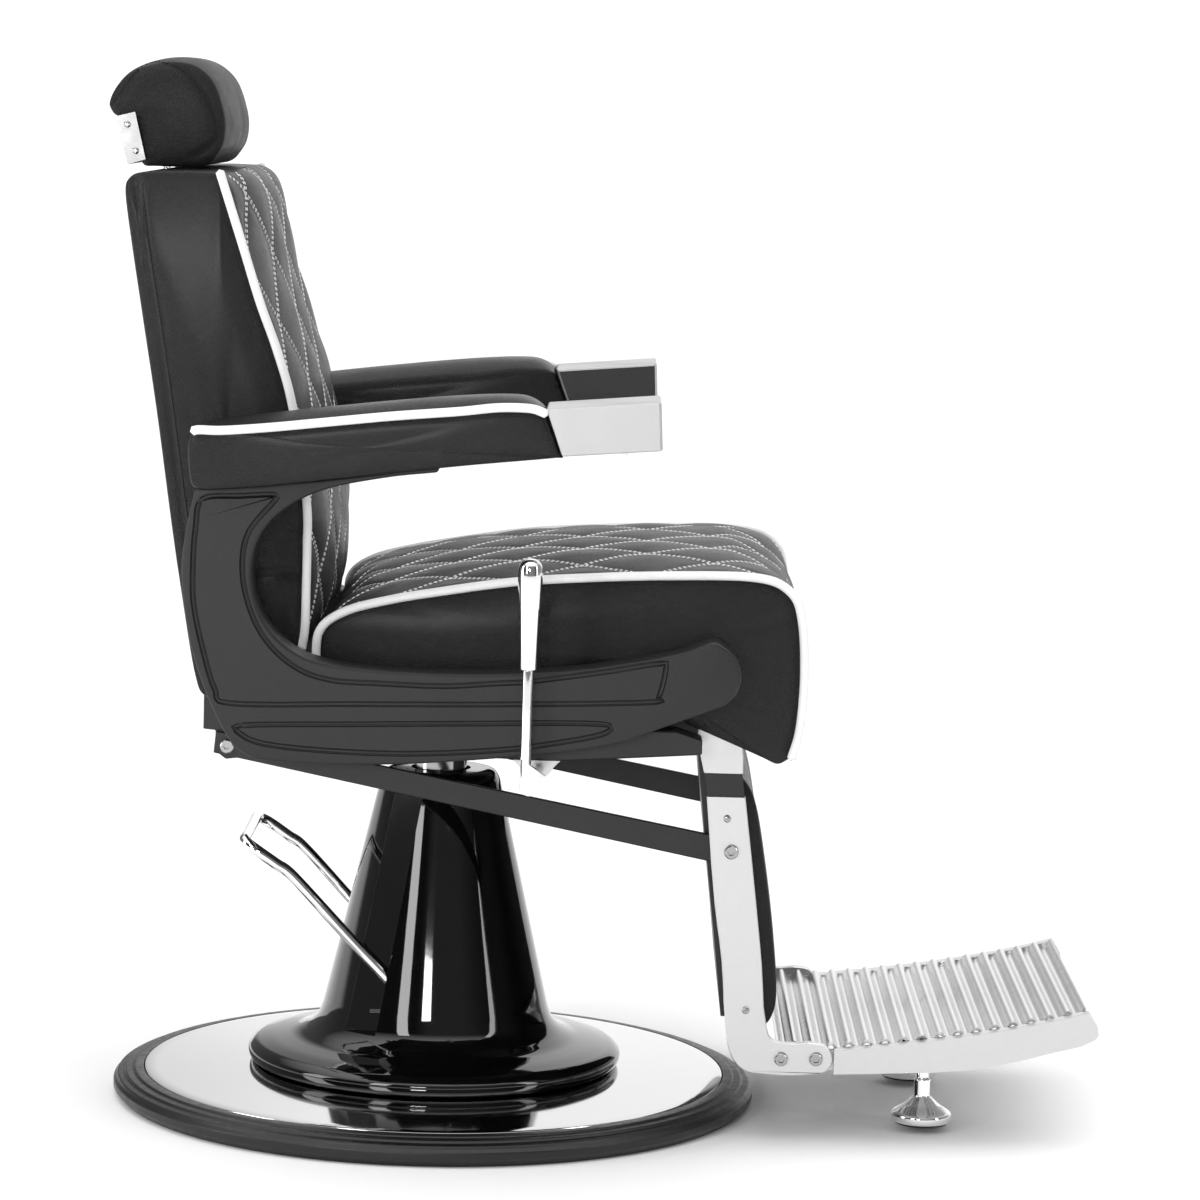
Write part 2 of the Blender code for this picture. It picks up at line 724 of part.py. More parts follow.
def make_posts(pivot):
    rear, front = post_edges()
    foot = [(0.3000, 0.0920), (0.3120, 0.0765), (0.3300, 0.0722), (0.3860, 0.0732)]
    toe = arc((0.3860, TOE_BOLT[1]), 0.0155, -60, 80, 5)
    heel = [(0.3530, 0.1037), (0.3400, 0.1080)]
    lower = [(*rear[2], 1)] + rear[3:] + foot + toe + heel + list(reversed(front[3:])) + [(*front[2], 1)]
    top = [(*rear[1], 1), (*front[1], 1), front[0], (0.2900, 0.4290), (0.2700, 0.4310), rear[0]]
    band_rear = (rear[1][0] + 0.0005, rear[2][0] + 0.0003)
    band = corner((band_rear[0], 0.3712), (0.3038, 0.3712), (0.3066, 0.3493), (band_rear[1], 0.3493))
    band_y = (POST_Y[0] + 0.001, POST_Y[1] - 0.0012)
    for tag, side in SIDES.items():
        prism("post_" + tag, lower, side_range(side, POST_Y), ALUMINIUM, pivot, 0.001, 1)
        prism("post_top_" + tag, top, side_range(side, POST_Y), ALUMINIUM, pivot, 0.001, 1)
        prism("post_band_" + tag, band, side_range(side, band_y), STEEL_BLACK, pivot)


def make_bolts(pivot, names):
    """Round bolt heads on the posts' outer faces: a link bolt and two foot bolts each side."""
    for name, (x, z), radius in names:
        for tag, side in SIDES.items():
            start = side * (POST_Y[1] + GAP)
            end = start + side * 0.0045
            head = cylinder_mesh((x, start, z), (x, end, z), radius, radius * 0.86, sides=12)
            new_object(name + "_" + tag, head, CHROME, pivot)


def make_calf(pivot):
    rear = [(0.2600, 0.3860), (0.2680, 0.3120), (0.2840, 0.1800), (0.2900, 0.1250)]
    front = [(0.3000, 0.1250), (0.2950, 0.1810), (0.2790, 0.3130), (0.2710, 0.3860)]
    prism("calf_board", corner(*rear, *front), (-CALF_HALF, CALF_HALF), STEEL_BLACK, pivot)
    pad = [
        (0.2740, 0.3700, 1),
        (0.2800, 0.3130, 1),
        (0.2955, 0.1810, 1),
        (0.3005, 0.1200, 1),
        (0.3260, 0.1150),
        (0.3370, 0.1220),
        (0.3405, 0.1500),
        (0.3370, 0.1850),
        (0.3300, 0.2420),
        (0.3200, 0.3050),
        (0.3120, 0.3450),
        (0.3070, 0.3620),
        (0.2960, 0.3700),
    ]
    prism("calf_pad", pad, (-CALF_HALF, CALF_HALF), LEATHER, pivot, 0.005, 2)


def tread_z(x):
    """Height of the footrest's mean surface: level at the rear, rising towards the toes."""
    reach = max(0.0, x - 0.400)
    return 0.1030 + 0.090 * reach + 0.300 * reach * reach


def tread_mesh():
    """The corrugated plate: a strip of waves along X, thickened downwards."""
    steps_per_wave = 4
    count = int(round((TREAD_X[1] - TREAD_X[0]) / WAVE_PITCH * steps_per_wave))
    shape = bmesh.new()
    rows = []
    for step in range(count + 1):
        x = TREAD_X[0] + (TREAD_X[1] - TREAD_X[0]) * step / count
        wave = WAVE_HEIGHT * math.cos(2 * math.pi * (x - TREAD_X[0]) / WAVE_PITCH)
        z = tread_z(x) + wave - WAVE_HEIGHT
        rows.append([shape.verts.new((x, y, z)) for y in (-TREAD_HALF, TREAD_HALF)])
    for first, second in zip(rows, rows[1:]):
        shape.faces.new((first[0], second[0], second[1], first[1]))
    mesh = bpy.data.meshes.new("tread")
    shape.to_mesh(mesh)
    shape.free()
    return mesh


def make_footrest(pivot):
    tread = new_object("footrest_tread", finished(tread_mesh()), ALUMINIUM, pivot)
    shell = tread.modifiers.new("plate", "SOLIDIFY")
    shell.thickness = TREAD_THICK
    shell.offset = -1
    low = [(0.4030, 0.0735, 1), (0.4600, 0.0762), (0.5210, 0.0800), (0.5680, 0.0875), (0.6140, 0.1000)]
    low += [(0.6600, 0.1150), (0.6640, 0.1210), (0.6545, tread_z(0.6545) - 0.0030, 1)]
    low += [(0.6100, tread_z(0.6100) - 0.0045), (0.5500, tread_z(0.5500) - 0.0050)]
    low += [(0.4800, tread_z(0.4800) - 0.0055), (0.4030, tread_z(0.4030) - 0.0060, 1)]
    tab = corner((0.3460, 0.0760), (0.4200, 0.0760), (0.4200, 0.0960), (0.3460, 0.0960))
    for tag, side in SIDES.items():
        skirt = prism_mesh(low, *sorted(side_range(side, SKIRT_Y)))
        lug = prism_mesh(tab, *sorted(side_range(side, TAB_Y)))
        whole = combined(skirt, [lug], "UNION")
        new_object("footrest_side_" + tag, whole, ALUMINIUM, pivot)
    beam = box_mesh((0.484, -0.1800, 0.0835), (0.512, 0.1800, 0.0985))
    holes = []
    for side in SIDES.values():
        foot = (FOOT_X, side * FOOT_Y)
        holes.append(cylinder_mesh((*foot, 0.07), (*foot, 0.12), STEM_R + 0.0005, sides=20))
    new_object("footrest_beam", combined(beam, holes, "DIFFERENCE"), ALUMINIUM, pivot)


def make_foot(tag, side, pivot):
    """A levelling foot: a stem that threads up into the beam, a bell and a soft ring under it."""
    top = 0.0905
    stem = [
        (0.0, top),
        (STEM_R, top),
        (STEM_R, 0.0530),
        (0.0082, 0.0520),
        (0.0082, 0.0340),
        (0.0130, 0.0310),
        (0.0180, 0.0260),
        (0.0285, 0.0185),
        (0.0305, 0.0165),
        (0.0305, 0.0098),
        (0.0295, 0.0090),
        (0.0, 0.0090),
    ]
    new_object("foot_" + tag, turned_mesh(stem, steps=20, centre=(FOOT_X, side * FOOT_Y)), CHROME, pivot)
    pad = [(0.0, 0.0087), (0.0275, 0.0087), (0.0275, 0.0074), (0.0265, 0.0066), (0.0, 0.0066)]
    new_object("foot_pad_" + tag, turned_mesh(pad, steps=20, centre=(FOOT_X, side * FOOT_Y)), RUBBER, pivot)


def make_link(tag, side, pivot):
    """A flat bar from the backrest's bracket to the legrest post, with its rear bolt."""
    bar = corner((-0.2175, 0.3770), (-0.2155, 0.3985), (0.3060, 0.3030), (0.3080, 0.2840), (0.2950, 0.2780))
    prism("link_" + tag, bar, side_range(side, (LINK_Y[0], LINK_Y[1])), SATIN_BLACK, pivot, 0.0008, 1)
    x, z = LINK_REAR
    start = side * (LINK_Y[1] + GAP)
    head = cylinder_mesh((x, start, z), (x, start + side * 0.0045, z), 0.0072, 0.0062, sides=12)
    new_object("link_bolt_" + tag, head, CHROME, pivot)


# ---------------------------------------------------------------- assembly


def at(pivot_xz, y=0.0):
    return (pivot_xz[0], y, pivot_xz[1])


def build():
    make_base()
    make_column()
    make_pump()
    make_pedal(make_pivot("pedal_pivot", at(PEDAL_PIVOT)))
    lift = make_pivot("lift_axis", (0, 0, 0))
    make_ram(lift)
    seat = make_pivot("swivel_axis", (0, 0, PAN_Z[0]), lift)
    make_seat_structure(seat)
    make_axles(seat)
    make_side_frames(seat)
    make_arms(seat)
    make_seat_cushion(seat)
    make_lever_bracket(seat)
    make_lever(make_pivot("lever_pivot", at(LEVER_PIVOT, LEVER_Y), seat))
    back = make_pivot("recline_pivot", at(RECLINE_PIVOT), seat)
    make_backrest(back)
    post = make_pivot("headrest_slide", at(POST_TOP), back)
    make_headrest_post(post)
    make_headrest(make_pivot("headrest_tilt", at(POST_TOP), post))
    for tag, side in SIDES.items():
        make_link(tag, side, make_pivot("link_pivot_" + tag, at(LINK_REAR, side * LINK_Y[0]), back))
    leg = make_pivot("legrest_pivot", at(LEG_PIVOT), seat)
    make_posts(leg)
    bolts = [("post_bolt", LINK_FRONT, 0.0072), ("toe_bolt", TOE_BOLT, 0.0068)]
    make_bolts(leg, bolts + [("heel_bolt", HEEL_BOLT, 0.0068)])
    make_calf(leg)
    make_footrest(leg)
    for tag, side in SIDES.items():
        make_foot(tag, side, make_pivot("foot_thread_" + tag, (FOOT_X, side * FOOT_Y, 0), leg))


clear_scene()
PARTS = bpy.data.collections.new("barber_chair")
HELPERS = bpy.data.collections.new("cutters")
HELPERS.hide_render = True
bpy.context.scene.collection.children.link(PARTS)
bpy.context.scene.collection.children.link(HELPERS)
CHROME = material("chrome", (0.80, 0.81, 0.82), 0.08, 1.0)
ALUMINIUM = material("brushed aluminium", (0.72, 0.73, 0.74), 0.30, 1.0)
PIANO_BLACK = material("piano black", (0.006, 0.006, 0.007), 0.06)
STEEL_BLACK = material("black steel", (0.020, 0.020, 0.021), 0.40)
SATIN_BLACK = material("satin black", (0.030, 0.030, 0.031), 0.35)
MATTE_BLACK = material("matte black", (0.022, 0.022, 0.023), 0.55)
RUBBER = material("black rubber", (0.018, 0.018, 0.018), 0.60)
LEATHER = material("black leather", (0.016, 0.016, 0.017), 0.42)
build()
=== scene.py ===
"""Looks for the hydraulic barber chair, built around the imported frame. Metres, sitter faces +X, +Z up."""

import contextlib
import json
import math

import bmesh
import bpy
import numpy as np
from mathutils import Matrix, Vector
from mathutils.bvhtree import BVHTree


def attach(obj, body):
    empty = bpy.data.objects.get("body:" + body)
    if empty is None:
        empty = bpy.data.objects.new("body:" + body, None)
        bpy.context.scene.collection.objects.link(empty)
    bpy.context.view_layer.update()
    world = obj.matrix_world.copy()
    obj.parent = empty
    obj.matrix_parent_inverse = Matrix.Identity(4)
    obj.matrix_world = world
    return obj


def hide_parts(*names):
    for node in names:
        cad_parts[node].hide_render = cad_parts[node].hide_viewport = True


SIDES = {"r": -1, "l": 1}

# Camera: metres, degrees and millimetres
CAMERA_PLACE = (0.168, -4.473, 1.031)
CAMERA_PITCH = 6.55
CAMERA_YAW = -0.12
CAMERA_ROLL = 1.57
CAMERA_LENS = 132.0

# Upholstery
PIPING_R = 0.0044
QUILT_PITCH = 0.122
QUILT_STRETCH = 1.06
QUILT_HEIGHT = 0.0058
STITCH_PITCH = 0.0064
STITCH_LENGTH = 0.0043
STITCH_R = 0.00052
STITCH_ROWS = 0.0044
GRID = 0.005

# Side frames, bolts, footrest
GROOVE_R = 0.0029
HEAD_SIDES = 48
WAVES = 17
WAVE_LENGTH = 0.018
WAVE_HEIGHT = 0.0036


# ---------------------------------------------------------------- node helpers


def shader_of(name):
    """A new material, its node tree and its Principled shader."""
    made = bpy.data.materials.new(name)
    made.use_nodes = True
    return made, made.node_tree, made.node_tree.nodes["Principled BSDF"]


def node(tree, kind, **values):
    """A node of that kind. Values name its properties, or its inputs after an 'in_'."""
    made = tree.nodes.new("ShaderNode" + kind)
    for key, value in values.items():
        if key.startswith("in_"):
            made.inputs[key[3:]].default_value = value
        else:
            setattr(made, key, value)
    return made


def feed(tree, shader, **values):
    """Sets the shader's inputs, each from another node's output or to a number."""
    for key, value in values.items():
        socket = shader.inputs[key.replace("_", " ")]
        if isinstance(value, float):
            socket.default_value = value
        else:
            tree.links.new(value, socket)


def place_scaled(tree, scale=(1, 1, 1)):
    """The object's own coordinates, stretched by a scale for each axis."""
    coords = node(tree, "TexCoord")
    mapping = node(tree, "Mapping")
    mapping.inputs["Scale"].default_value = scale
    tree.links.new(coords.outputs["Object"], mapping.inputs["Vector"])
    return mapping.outputs["Vector"]


def noise(tree, vector, scale, detail=4.0, roughness=0.5):
    made = node(tree, "TexNoise", in_Scale=scale, in_Detail=detail, in_Roughness=roughness)
    tree.links.new(vector, made.inputs["Vector"])
    return made.outputs["Fac"]


def ramp(tree, value, low, high, low_at=0.0, high_at=1.0):
    """A grey or coloured ramp of a value between two colours."""
    made = node(tree, "ValToRGB")
    made.color_ramp.elements[0].position = low_at
    made.color_ramp.elements[1].position = high_at
    made.color_ramp.elements[0].color = (*low, 1)
    made.color_ramp.elements[1].color = (*high, 1)
    tree.links.new(value, made.inputs["Fac"])
    return made.outputs["Color"]


def grey(value):
    return (value, value, value)


def bump(tree, height, strength, distance, before=None):
    made = node(tree, "Bump", in_Strength=strength, in_Distance=distance)
    tree.links.new(height, made.inputs["Height"])
    if before is not None:
        tree.links.new(before, made.inputs["Normal"])
    return made.outputs["Normal"]


# ---------------------------------------------------------------- materials


def leather(name, low, high, roughness, coat):
    """Fine grained synthetic leather: small cells, soft folds and worn sheen."""
    made, tree, shader = shader_of(name)
    place = place_scaled(tree)
    warp = node(tree, "TexNoise", in_Scale=160.0, in_Detail=2.0)
    warped = node(tree, "VectorMath", operation="MULTIPLY_ADD")
    warped.inputs[1].default_value = (0.004, 0.004, 0.004)
    cells = node(tree, "TexVoronoi", feature="DISTANCE_TO_EDGE", in_Scale=520.0)
    tree.links.new(place, warp.inputs["Vector"])
    tree.links.new(warp.outputs["Color"], warped.inputs[0])
    tree.links.new(place, warped.inputs[2])
    tree.links.new(warped.outputs[0], cells.inputs["Vector"])
    grain = ramp(tree, cells.outputs["Distance"], grey(0), grey(1), 0.0, 0.25)
    folds = noise(tree, place, 22.0, 5.0, 0.55)
    feed(
        tree,
        shader,
        Base_Color=ramp(tree, noise(tree, place, 9.0, 3.0), low, high, 0.3, 0.7),
        Roughness=ramp(tree, folds, grey(roughness - 0.06), grey(roughness + 0.1), 0.3, 0.75),
        Normal=bump(tree, folds, 0.22, 0.004, bump(tree, grain, 0.7, 0.0006)),
        Specular_IOR_Level=0.26,
        Coat_Weight=coat,
        Coat_Roughness=0.24,
    )
    return made


def chrome(name, tint, roughness):
    """Polished plating with a faint mottle in its gloss."""
    made, tree, shader = shader_of(name)
    wipe = noise(tree, place_scaled(tree), 30.0, 3.0)
    colour = ramp(tree, wipe, grey(tint - 0.03), grey(tint))
    gloss = ramp(tree, wipe, grey(roughness), grey(roughness + 0.05))
    feed(tree, shader, Base_Color=colour, Roughness=gloss, Metallic=1.0)
    return made


def brushed(name, tint, roughness, scale):
    """Metal brushed along one axis: long fine lines in gloss, colour and height."""
    made, tree, shader = shader_of(name)
    lines = noise(tree, place_scaled(tree, scale), 1.0, 6.0, 0.7)
    feed(
        tree,
        shader,
        Base_Color=ramp(tree, lines, grey(tint - 0.05), grey(tint), 0.3, 0.7),
        Roughness=ramp(tree, lines, grey(roughness - 0.08), grey(roughness + 0.12), 0.3, 0.7),
        Normal=bump(tree, lines, 0.1, 0.0002),
        Metallic=1.0,
        Anisotropic=0.4,
    )
    return made


def gloss_black(name):
    """Lacquered black with a very faint orange peel."""
    made, tree, shader = shader_of(name)
    peel = noise(tree, place_scaled(tree), 60.0, 2.0)
    feed(
        tree,
        shader,
        Base_Color=ramp(tree, peel, grey(0.0015), grey(0.003)),
        Roughness=ramp(tree, peel, grey(0.035), grey(0.06)),
        Normal=bump(tree, peel, 0.012, 0.002),
        Coat_Weight=0.3,
        Coat_Roughness=0.02,
    )
    return made


def textured_black(name, tone, roughness, scale, strength):
    """Moulded or powder coated black: a fine pebble with slight changes in tone."""
    made, tree, shader = shader_of(name)
    place = place_scaled(tree)
    pebble = noise(tree, place, scale, 3.0, 0.6)
    cloud = noise(tree, place, 14.0, 4.0)
    feed(
        tree,
        shader,
        Base_Color=ramp(tree, cloud, grey(tone * 0.85), grey(tone * 1.2), 0.3, 0.7),
        Roughness=ramp(tree, pebble, grey(roughness - 0.07), grey(roughness + 0.07), 0.3, 0.7),
        Normal=bump(tree, pebble, strength, 0.0006),
    )
    return made


def white_vinyl(name, tone):
    """Smooth white piping or thread."""
    made, tree, shader = shader_of(name)
    place = place_scaled(tree)
    cloud = noise(tree, place, 60.0, 3.0)
    feed(
        tree,
        shader,
        Base_Color=ramp(tree, cloud, grey(tone - 0.05), grey(tone), 0.3, 0.7),
        Roughness=ramp(tree, cloud, grey(0.34), grey(0.46)),
        Normal=bump(tree, noise(tree, place, 700.0, 2.0), 0.08, 0.0004),
    )
    return made


def matte_white(name):
    """The studio floor: pale, with a trace of variation."""
    made, tree, shader = shader_of(name)
    tone = ramp(tree, noise(tree, place_scaled(tree), 2.0), grey(0.93), grey(0.95))
    feed(tree, shader, Base_Color=tone, Roughness=0.9, Specular_IOR_Level=0.1)
    return made


# ---------------------------------------------------------------- mesh helpers


def add(name, mesh, finish, body=None, replaces=(), smooth=40):
    """A new piece: its material, its smoothing, the body it rides on and what it stands for."""
    obj = bpy.data.objects.new(name, mesh)
    bpy.context.scene.collection.objects.link(obj)
    mesh.materials.clear()
    mesh.materials.append(finish)
    if smooth:
        mesh.shade_smooth()
        mesh.set_sharp_from_angle(angle=math.radians(smooth))
    if body:
        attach(obj, body)
    if replaces:
        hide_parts(*replaces)
    return obj


def mesh_from(name, points, faces):
    mesh = bpy.data.meshes.new(name)
    mesh.from_pydata([tuple(map(float, p)) for p in points], [], faces)
    mesh.validate()
    mesh.update()
    return mesh


@contextlib.contextmanager
def edited(mesh):
    """The mesh as a bmesh, whose changes are written back at the end."""
    shape = bmesh.new()
    shape.from_mesh(mesh)
    yield shape
    shape.to_mesh(mesh)
    shape.free()


def facing_out(mesh):
    with edited(mesh) as shape:
        bmesh.ops.recalc_face_normals(shape, faces=shape.faces)
    return mesh


def on_y(mesh, place, side=1):
    """The mesh turned so that its Z axis points along Y to that side, and moved to its place."""
    return standing(mesh, place, (0, side, 0))


def standing(mesh, place, axis):
    turn = Vector(axis).to_track_quat("Z", "Y").to_matrix().to_4x4()
    mesh.transform(Matrix.Translation(place) @ turn)
    return mesh


def strip(low, high, count):
    """Faces between two closed rings of that many points, from the numbers of their first points."""
    return [(low + k, low + (k + 1) % count, high + (k + 1) % count, high + k) for k in range(count)]


def polar(radius, angle):
    return radius * math.cos(angle), radius * math.sin(angle)


def lathe(profile, segments=160, centre=(0, 0)):
    """A closed turned mesh from (radius, z) points whose ends lie on the axis, or that closes on itself."""
    points, faces = [], []
    rings = len(profile)
    for r, z in profile:
        for step in range(segments):
            x, y = polar(r, 2 * math.pi * step / segments)
            points.append((centre[0] + x, centre[1] + y, z))
    for ring in range(rings):
        after = (ring + 1) % rings
        if profile[ring][0] >= 1e-7 or profile[after][0] >= 1e-7:
            faces += strip(ring * segments, after * segments, segments)
    mesh = mesh_from("lathe", points, faces)
    with edited(mesh) as shape:
        bmesh.ops.remove_doubles(shape, verts=shape.verts, dist=1e-6)
        bmesh.ops.dissolve_degenerate(shape, edges=shape.edges, dist=1e-7)
        bmesh.ops.recalc_face_normals(shape, faces=shape.faces)
    return mesh


def lengths_of(line):
    """How far each point of a line is from its start, measured along it."""
    return np.concatenate([[0], np.cumsum(np.linalg.norm(np.diff(line, axis=0), axis=1))])


def at_lengths(line, lengths, wanted):
    """Points of the line at the wanted lengths."""
    return np.stack([np.interp(wanted, lengths, line[:, k]) for k in range(line.shape[1])], axis=1)


def catmull(points, spacing, closed=False):
    """Evenly spaced points on a smooth curve through the given ones."""
    known = [np.array(p, float) for p in points]
    count = len(known)
    fine = []
    spans = count if closed else count - 1
    for span in range(spans):
        if closed:
            a, b, c, d = (known[(span + k) % count] for k in (-1, 0, 1, 2))
        else:
            b, c = known[span], known[span + 1]
            a = known[span - 1] if span else 2 * b - c
            d = known[span + 2] if span + 2 < count else 2 * c - b
        for t in np.linspace(0, 1, 24, endpoint=False):
            square, cube = 2 * a - 5 * b + 4 * c - d, 3 * b - a - 3 * c + d
            fine.append(0.5 * (2 * b + (c - a) * t + square * t**2 + cube * t**3))
    fine.append(known[0] if closed else known[-1])
    fine = np.array(fine)
    lengths = lengths_of(fine)
    steps = max(2, int(round(lengths[-1] / spacing)))
    return at_lengths(fine, lengths, np.linspace(0, lengths[-1], steps + 1)[: steps if closed else None])


def sweep(path, radius, sides=12, closed=False):
    """Points and faces of a round tube along the path."""
    path = np.asarray(path, float)
    count = len(path)
    if closed:
        tangents = np.roll(path, -1, axis=0) - np.roll(path, 1, axis=0)
    else:
        tangents = np.gradient(path, axis=0)
    tangents /= np.linalg.norm(tangents, axis=1, keepdims=True) + 1e-12
    side = np.cross(tangents[0], (0.12, 0.98, 0.15))
    side /= np.linalg.norm(side)
    points, faces = [], []
    for i in range(count):
        side = side - tangents[i] * np.dot(side, tangents[i])
        side /= np.linalg.norm(side)
        up = np.cross(tangents[i], side)
        for k in range(sides):
            angle = 2 * math.pi * k / sides
            points.append(path[i] + radius * (math.cos(angle) * side + math.sin(angle) * up))
    for i in range(count if closed else count - 1):
        faces += strip(i * sides, (i + 1) % count * sides, sides)
    if not closed:
        for i, turn in ((0, -1), (count - 1, 1)):
            points.append(path[i] + turn * tangents[i] * radius * 0.6)
            tip = len(points) - 1
            for k in range(sides):
                other = (k + 1) % sides
                ring = (i * sides + k, i * sides + other)
                faces.append((*ring, tip) if turn > 0 else (ring[1], ring[0], tip))
    return points, faces


def modified(obj, kind, **values):
    """Adds a modifier of that kind, applies it to the mesh and returns the object."""
    change = obj.modifiers.new(kind, kind)
    for key, value in values.items():
        setattr(change, key, value)
    bpy.context.view_layer.update()
    graph = bpy.context.evaluated_depsgraph_get()
    mesh = bpy.data.meshes.new_from_object(obj.evaluated_get(graph))
    obj.modifiers.remove(change)
    obj.data = mesh
    return obj


def points_of(mesh):
    flat = np.empty(len(mesh.vertices) * 3, np.float32)
    mesh.vertices.foreach_get("co", flat)
    return flat.reshape(-1, 3).astype(float)


def set_points(mesh, points):
    mesh.vertices.foreach_set("co", np.asarray(points, np.float32).reshape(-1))
    mesh.update()


def normals_of(mesh):
    flat = np.empty(len(mesh.vertices) * 3, np.float32)
    mesh.vertex_normals.foreach_get("vector", flat)
    return flat.reshape(-1, 3).astype(float)


# ---------------------------------------------------------------- cushions


def resampled(line, count):
    """The line again with that many points, evenly spaced."""
    lengths = lengths_of(line)
    return at_lengths(line, lengths, np.linspace(0, lengths[-1], count))


def drawn_in(cover, depth):
    """A cover's line moved inwards, for a side edge that has no line of its own."""
    line = catmull(cover, GRID)
    ways = np.gradient(line, axis=0)
    inward = np.stack([ways[:, 1], -ways[:, 0]], axis=1)
    inward /= np.linalg.norm(inward, axis=1, keepdims=True)
    fade = np.minimum(1, np.minimum(np.arange(len(line)), np.arange(len(line))[::-1]) / 6)
    return line + inward * depth * fade[:, None]


class Cushion:
    """A stuffed form: a loop in XZ swept across Y, closed by two side panels.

    `cover` is the top cover's line at the middle and `edge` its line at both sides. `plain` is the
    rest. Rows follow the loop and columns run across in Y. The side panels shrink to a centre.
    """

    def __init__(self, name, cover, edge, plain, half, centre, bulge, middle=0.0, rings=20):
        self.name = name
        self.half = half
        self.middle = middle
        self.rings = rings
        plain = catmull([cover[-1]] + plain + [cover[0]], GRID)[1:-1]
        cover = catmull(cover, GRID)
        self.cover = len(cover)
        edge = resampled(catmull(edge, GRID), self.cover)
        loop, outer = np.concatenate([cover, plain]), np.concatenate([edge, plain])
        self.rows = len(loop)
        self.columns = int(round(2 * half / GRID)) + 1
        across = np.linspace(-1, 1, self.columns)
        outward = np.roll(loop, -1, axis=0) - np.roll(loop, 1, axis=0)
        outward = np.stack([-outward[:, 1], outward[:, 0]], axis=1)
        outward /= np.linalg.norm(outward, axis=1, keepdims=True) + 1e-12
        self.outward = outward
        share = np.abs(across)[None, :, None] ** 3.5
        flat = loop[:, None] * (1 - share) + outer[:, None] * share
        grid = np.zeros((self.rows, self.columns, 3))
        grid[:, :, 0], grid[:, :, 2] = flat[:, :, 0], flat[:, :, 1]
        grid[:, :, 1] = middle + across[None] * half
        self.points = [p for row in grid for p in row]
        self.faces = []
        for i in range(self.rows):
            after = (i + 1) % self.rows
            for j in range(self.columns - 1):
                here, there = self.at(i, j), self.at(after, j)
                self.faces.append((here, here + 1, there + 1, there))
        for side, column in ((-1, 0), (1, self.columns - 1)):
            self.close_side(grid[:, column], side, column, centre, bulge)
        self.mesh = facing_out(mesh_from(name, self.points, self.faces))
        self.along = lengths_of(cover)

    def at(self, row, column):
        return row * self.columns + column

    def close_side(self, edge, side, column, centre, bulge):
        """Rings that shrink from an edge to the panel's centre, blown out by bulge."""
        rings = self.rings
        before = [self.at(i, column) for i in range(self.rows)]
        middle = np.array([centre[0], self.middle + side * self.half, centre[1]])
        for ring in range(1, rings):
            share = ring / rings
            swell = bulge * (1 - (1 - share) ** 6)
            now = []
            for i in range(self.rows):
                place = edge[i] + (middle - edge[i]) * share
                place[1] = self.middle + side * (self.half + swell)
                self.points.append(place)
                now.append(len(self.points) - 1)
            for i in range(self.rows):
                after = (i + 1) % self.rows
                self.faces.append((before[i], before[after], now[after], now[i]))
            before = now
        self.points.append(np.array([centre[0], self.middle + side * (self.half + bulge), centre[1]]))
        tip = len(self.points) - 1
        for i in range(self.rows):
            self.faces.append((before[i], before[(i + 1) % self.rows], tip))

    def inflate(self, pressure, cap, frames=14, stiffness=12.0):
        """Cloth under pressure with the piped edges and the plain underside held, then capped and applied."""
        start = points_of(self.mesh)
        obj = bpy.data.objects.new(self.name + "_cloth", self.mesh.copy())
        bpy.context.scene.collection.objects.link(obj)
        held = [self.at(i, j) for i in range(self.cover) for j in (0, self.columns - 1)]
        held += [self.at(i, j) for i in range(self.cover, self.rows) for j in range(self.columns)]
        pins = obj.vertex_groups.new(name="held")
        pins.add(held, 1.0, "REPLACE")
        cloth = obj.modifiers.new("cloth", "CLOTH")
        settings = cloth.settings
        settings.quality = 4
        settings.mass = 0.25
        settings.tension_stiffness = stiffness
        settings.compression_stiffness = stiffness
        settings.shear_stiffness = 4.0
        settings.bending_stiffness = 0.4
        settings.use_pressure = True
        settings.uniform_pressure_force = pressure
        settings.effector_weights.gravity = 0.0
        settings.vertex_group_mass = "held"
        cloth.collision_settings.use_collision = False
        scene = bpy.context.scene
        for frame_number in range(1, frames + 1):
            scene.frame_set(frame_number)
        graph = bpy.context.evaluated_depsgraph_get()
        moved = points_of(obj.evaluated_get(graph).to_mesh())
        bpy.data.objects.remove(obj, do_unlink=True)
        scene.frame_set(1)
        shift = moved - start
        size = np.linalg.norm(shift, axis=1, keepdims=True)
        shift *= np.minimum(1, cap / np.maximum(size, 1e-9))
        set_points(self.mesh, start + shift)

    def quilt(self, height, pitch, stretch=1.0, phase=0.0, fade=0.01):
        """Puffs the cover into diamonds between two families of crossing seams."""
        self.pitch, self.stretch, self.phase = pitch, stretch, phase
        points, normals = points_of(self.mesh), normals_of(self.mesh)
        across = np.linspace(-self.half, self.half, self.columns)
        a, b = np.meshgrid(self.along / stretch + phase, across, indexing="ij")
        puff = np.abs(np.sin(math.pi * (a + b) / pitch) * np.sin(math.pi * (a - b) / pitch)) ** 0.42
        ends = np.minimum(np.arange(self.cover), self.cover - 1 - np.arange(self.cover))[:, None] * GRID
        edges = (self.half - np.abs(across))[None]
        soft = np.clip(np.minimum(ends, edges) / fade, 0, 1) ** 0.5
        lift = (puff * height - 0.35 * height) * soft
        index = (np.arange(self.cover)[:, None] * self.columns + np.arange(self.columns)[None]).reshape(-1)
        points[index] += normals[index] * lift.reshape(-1, 1)
        set_points(self.mesh, points)

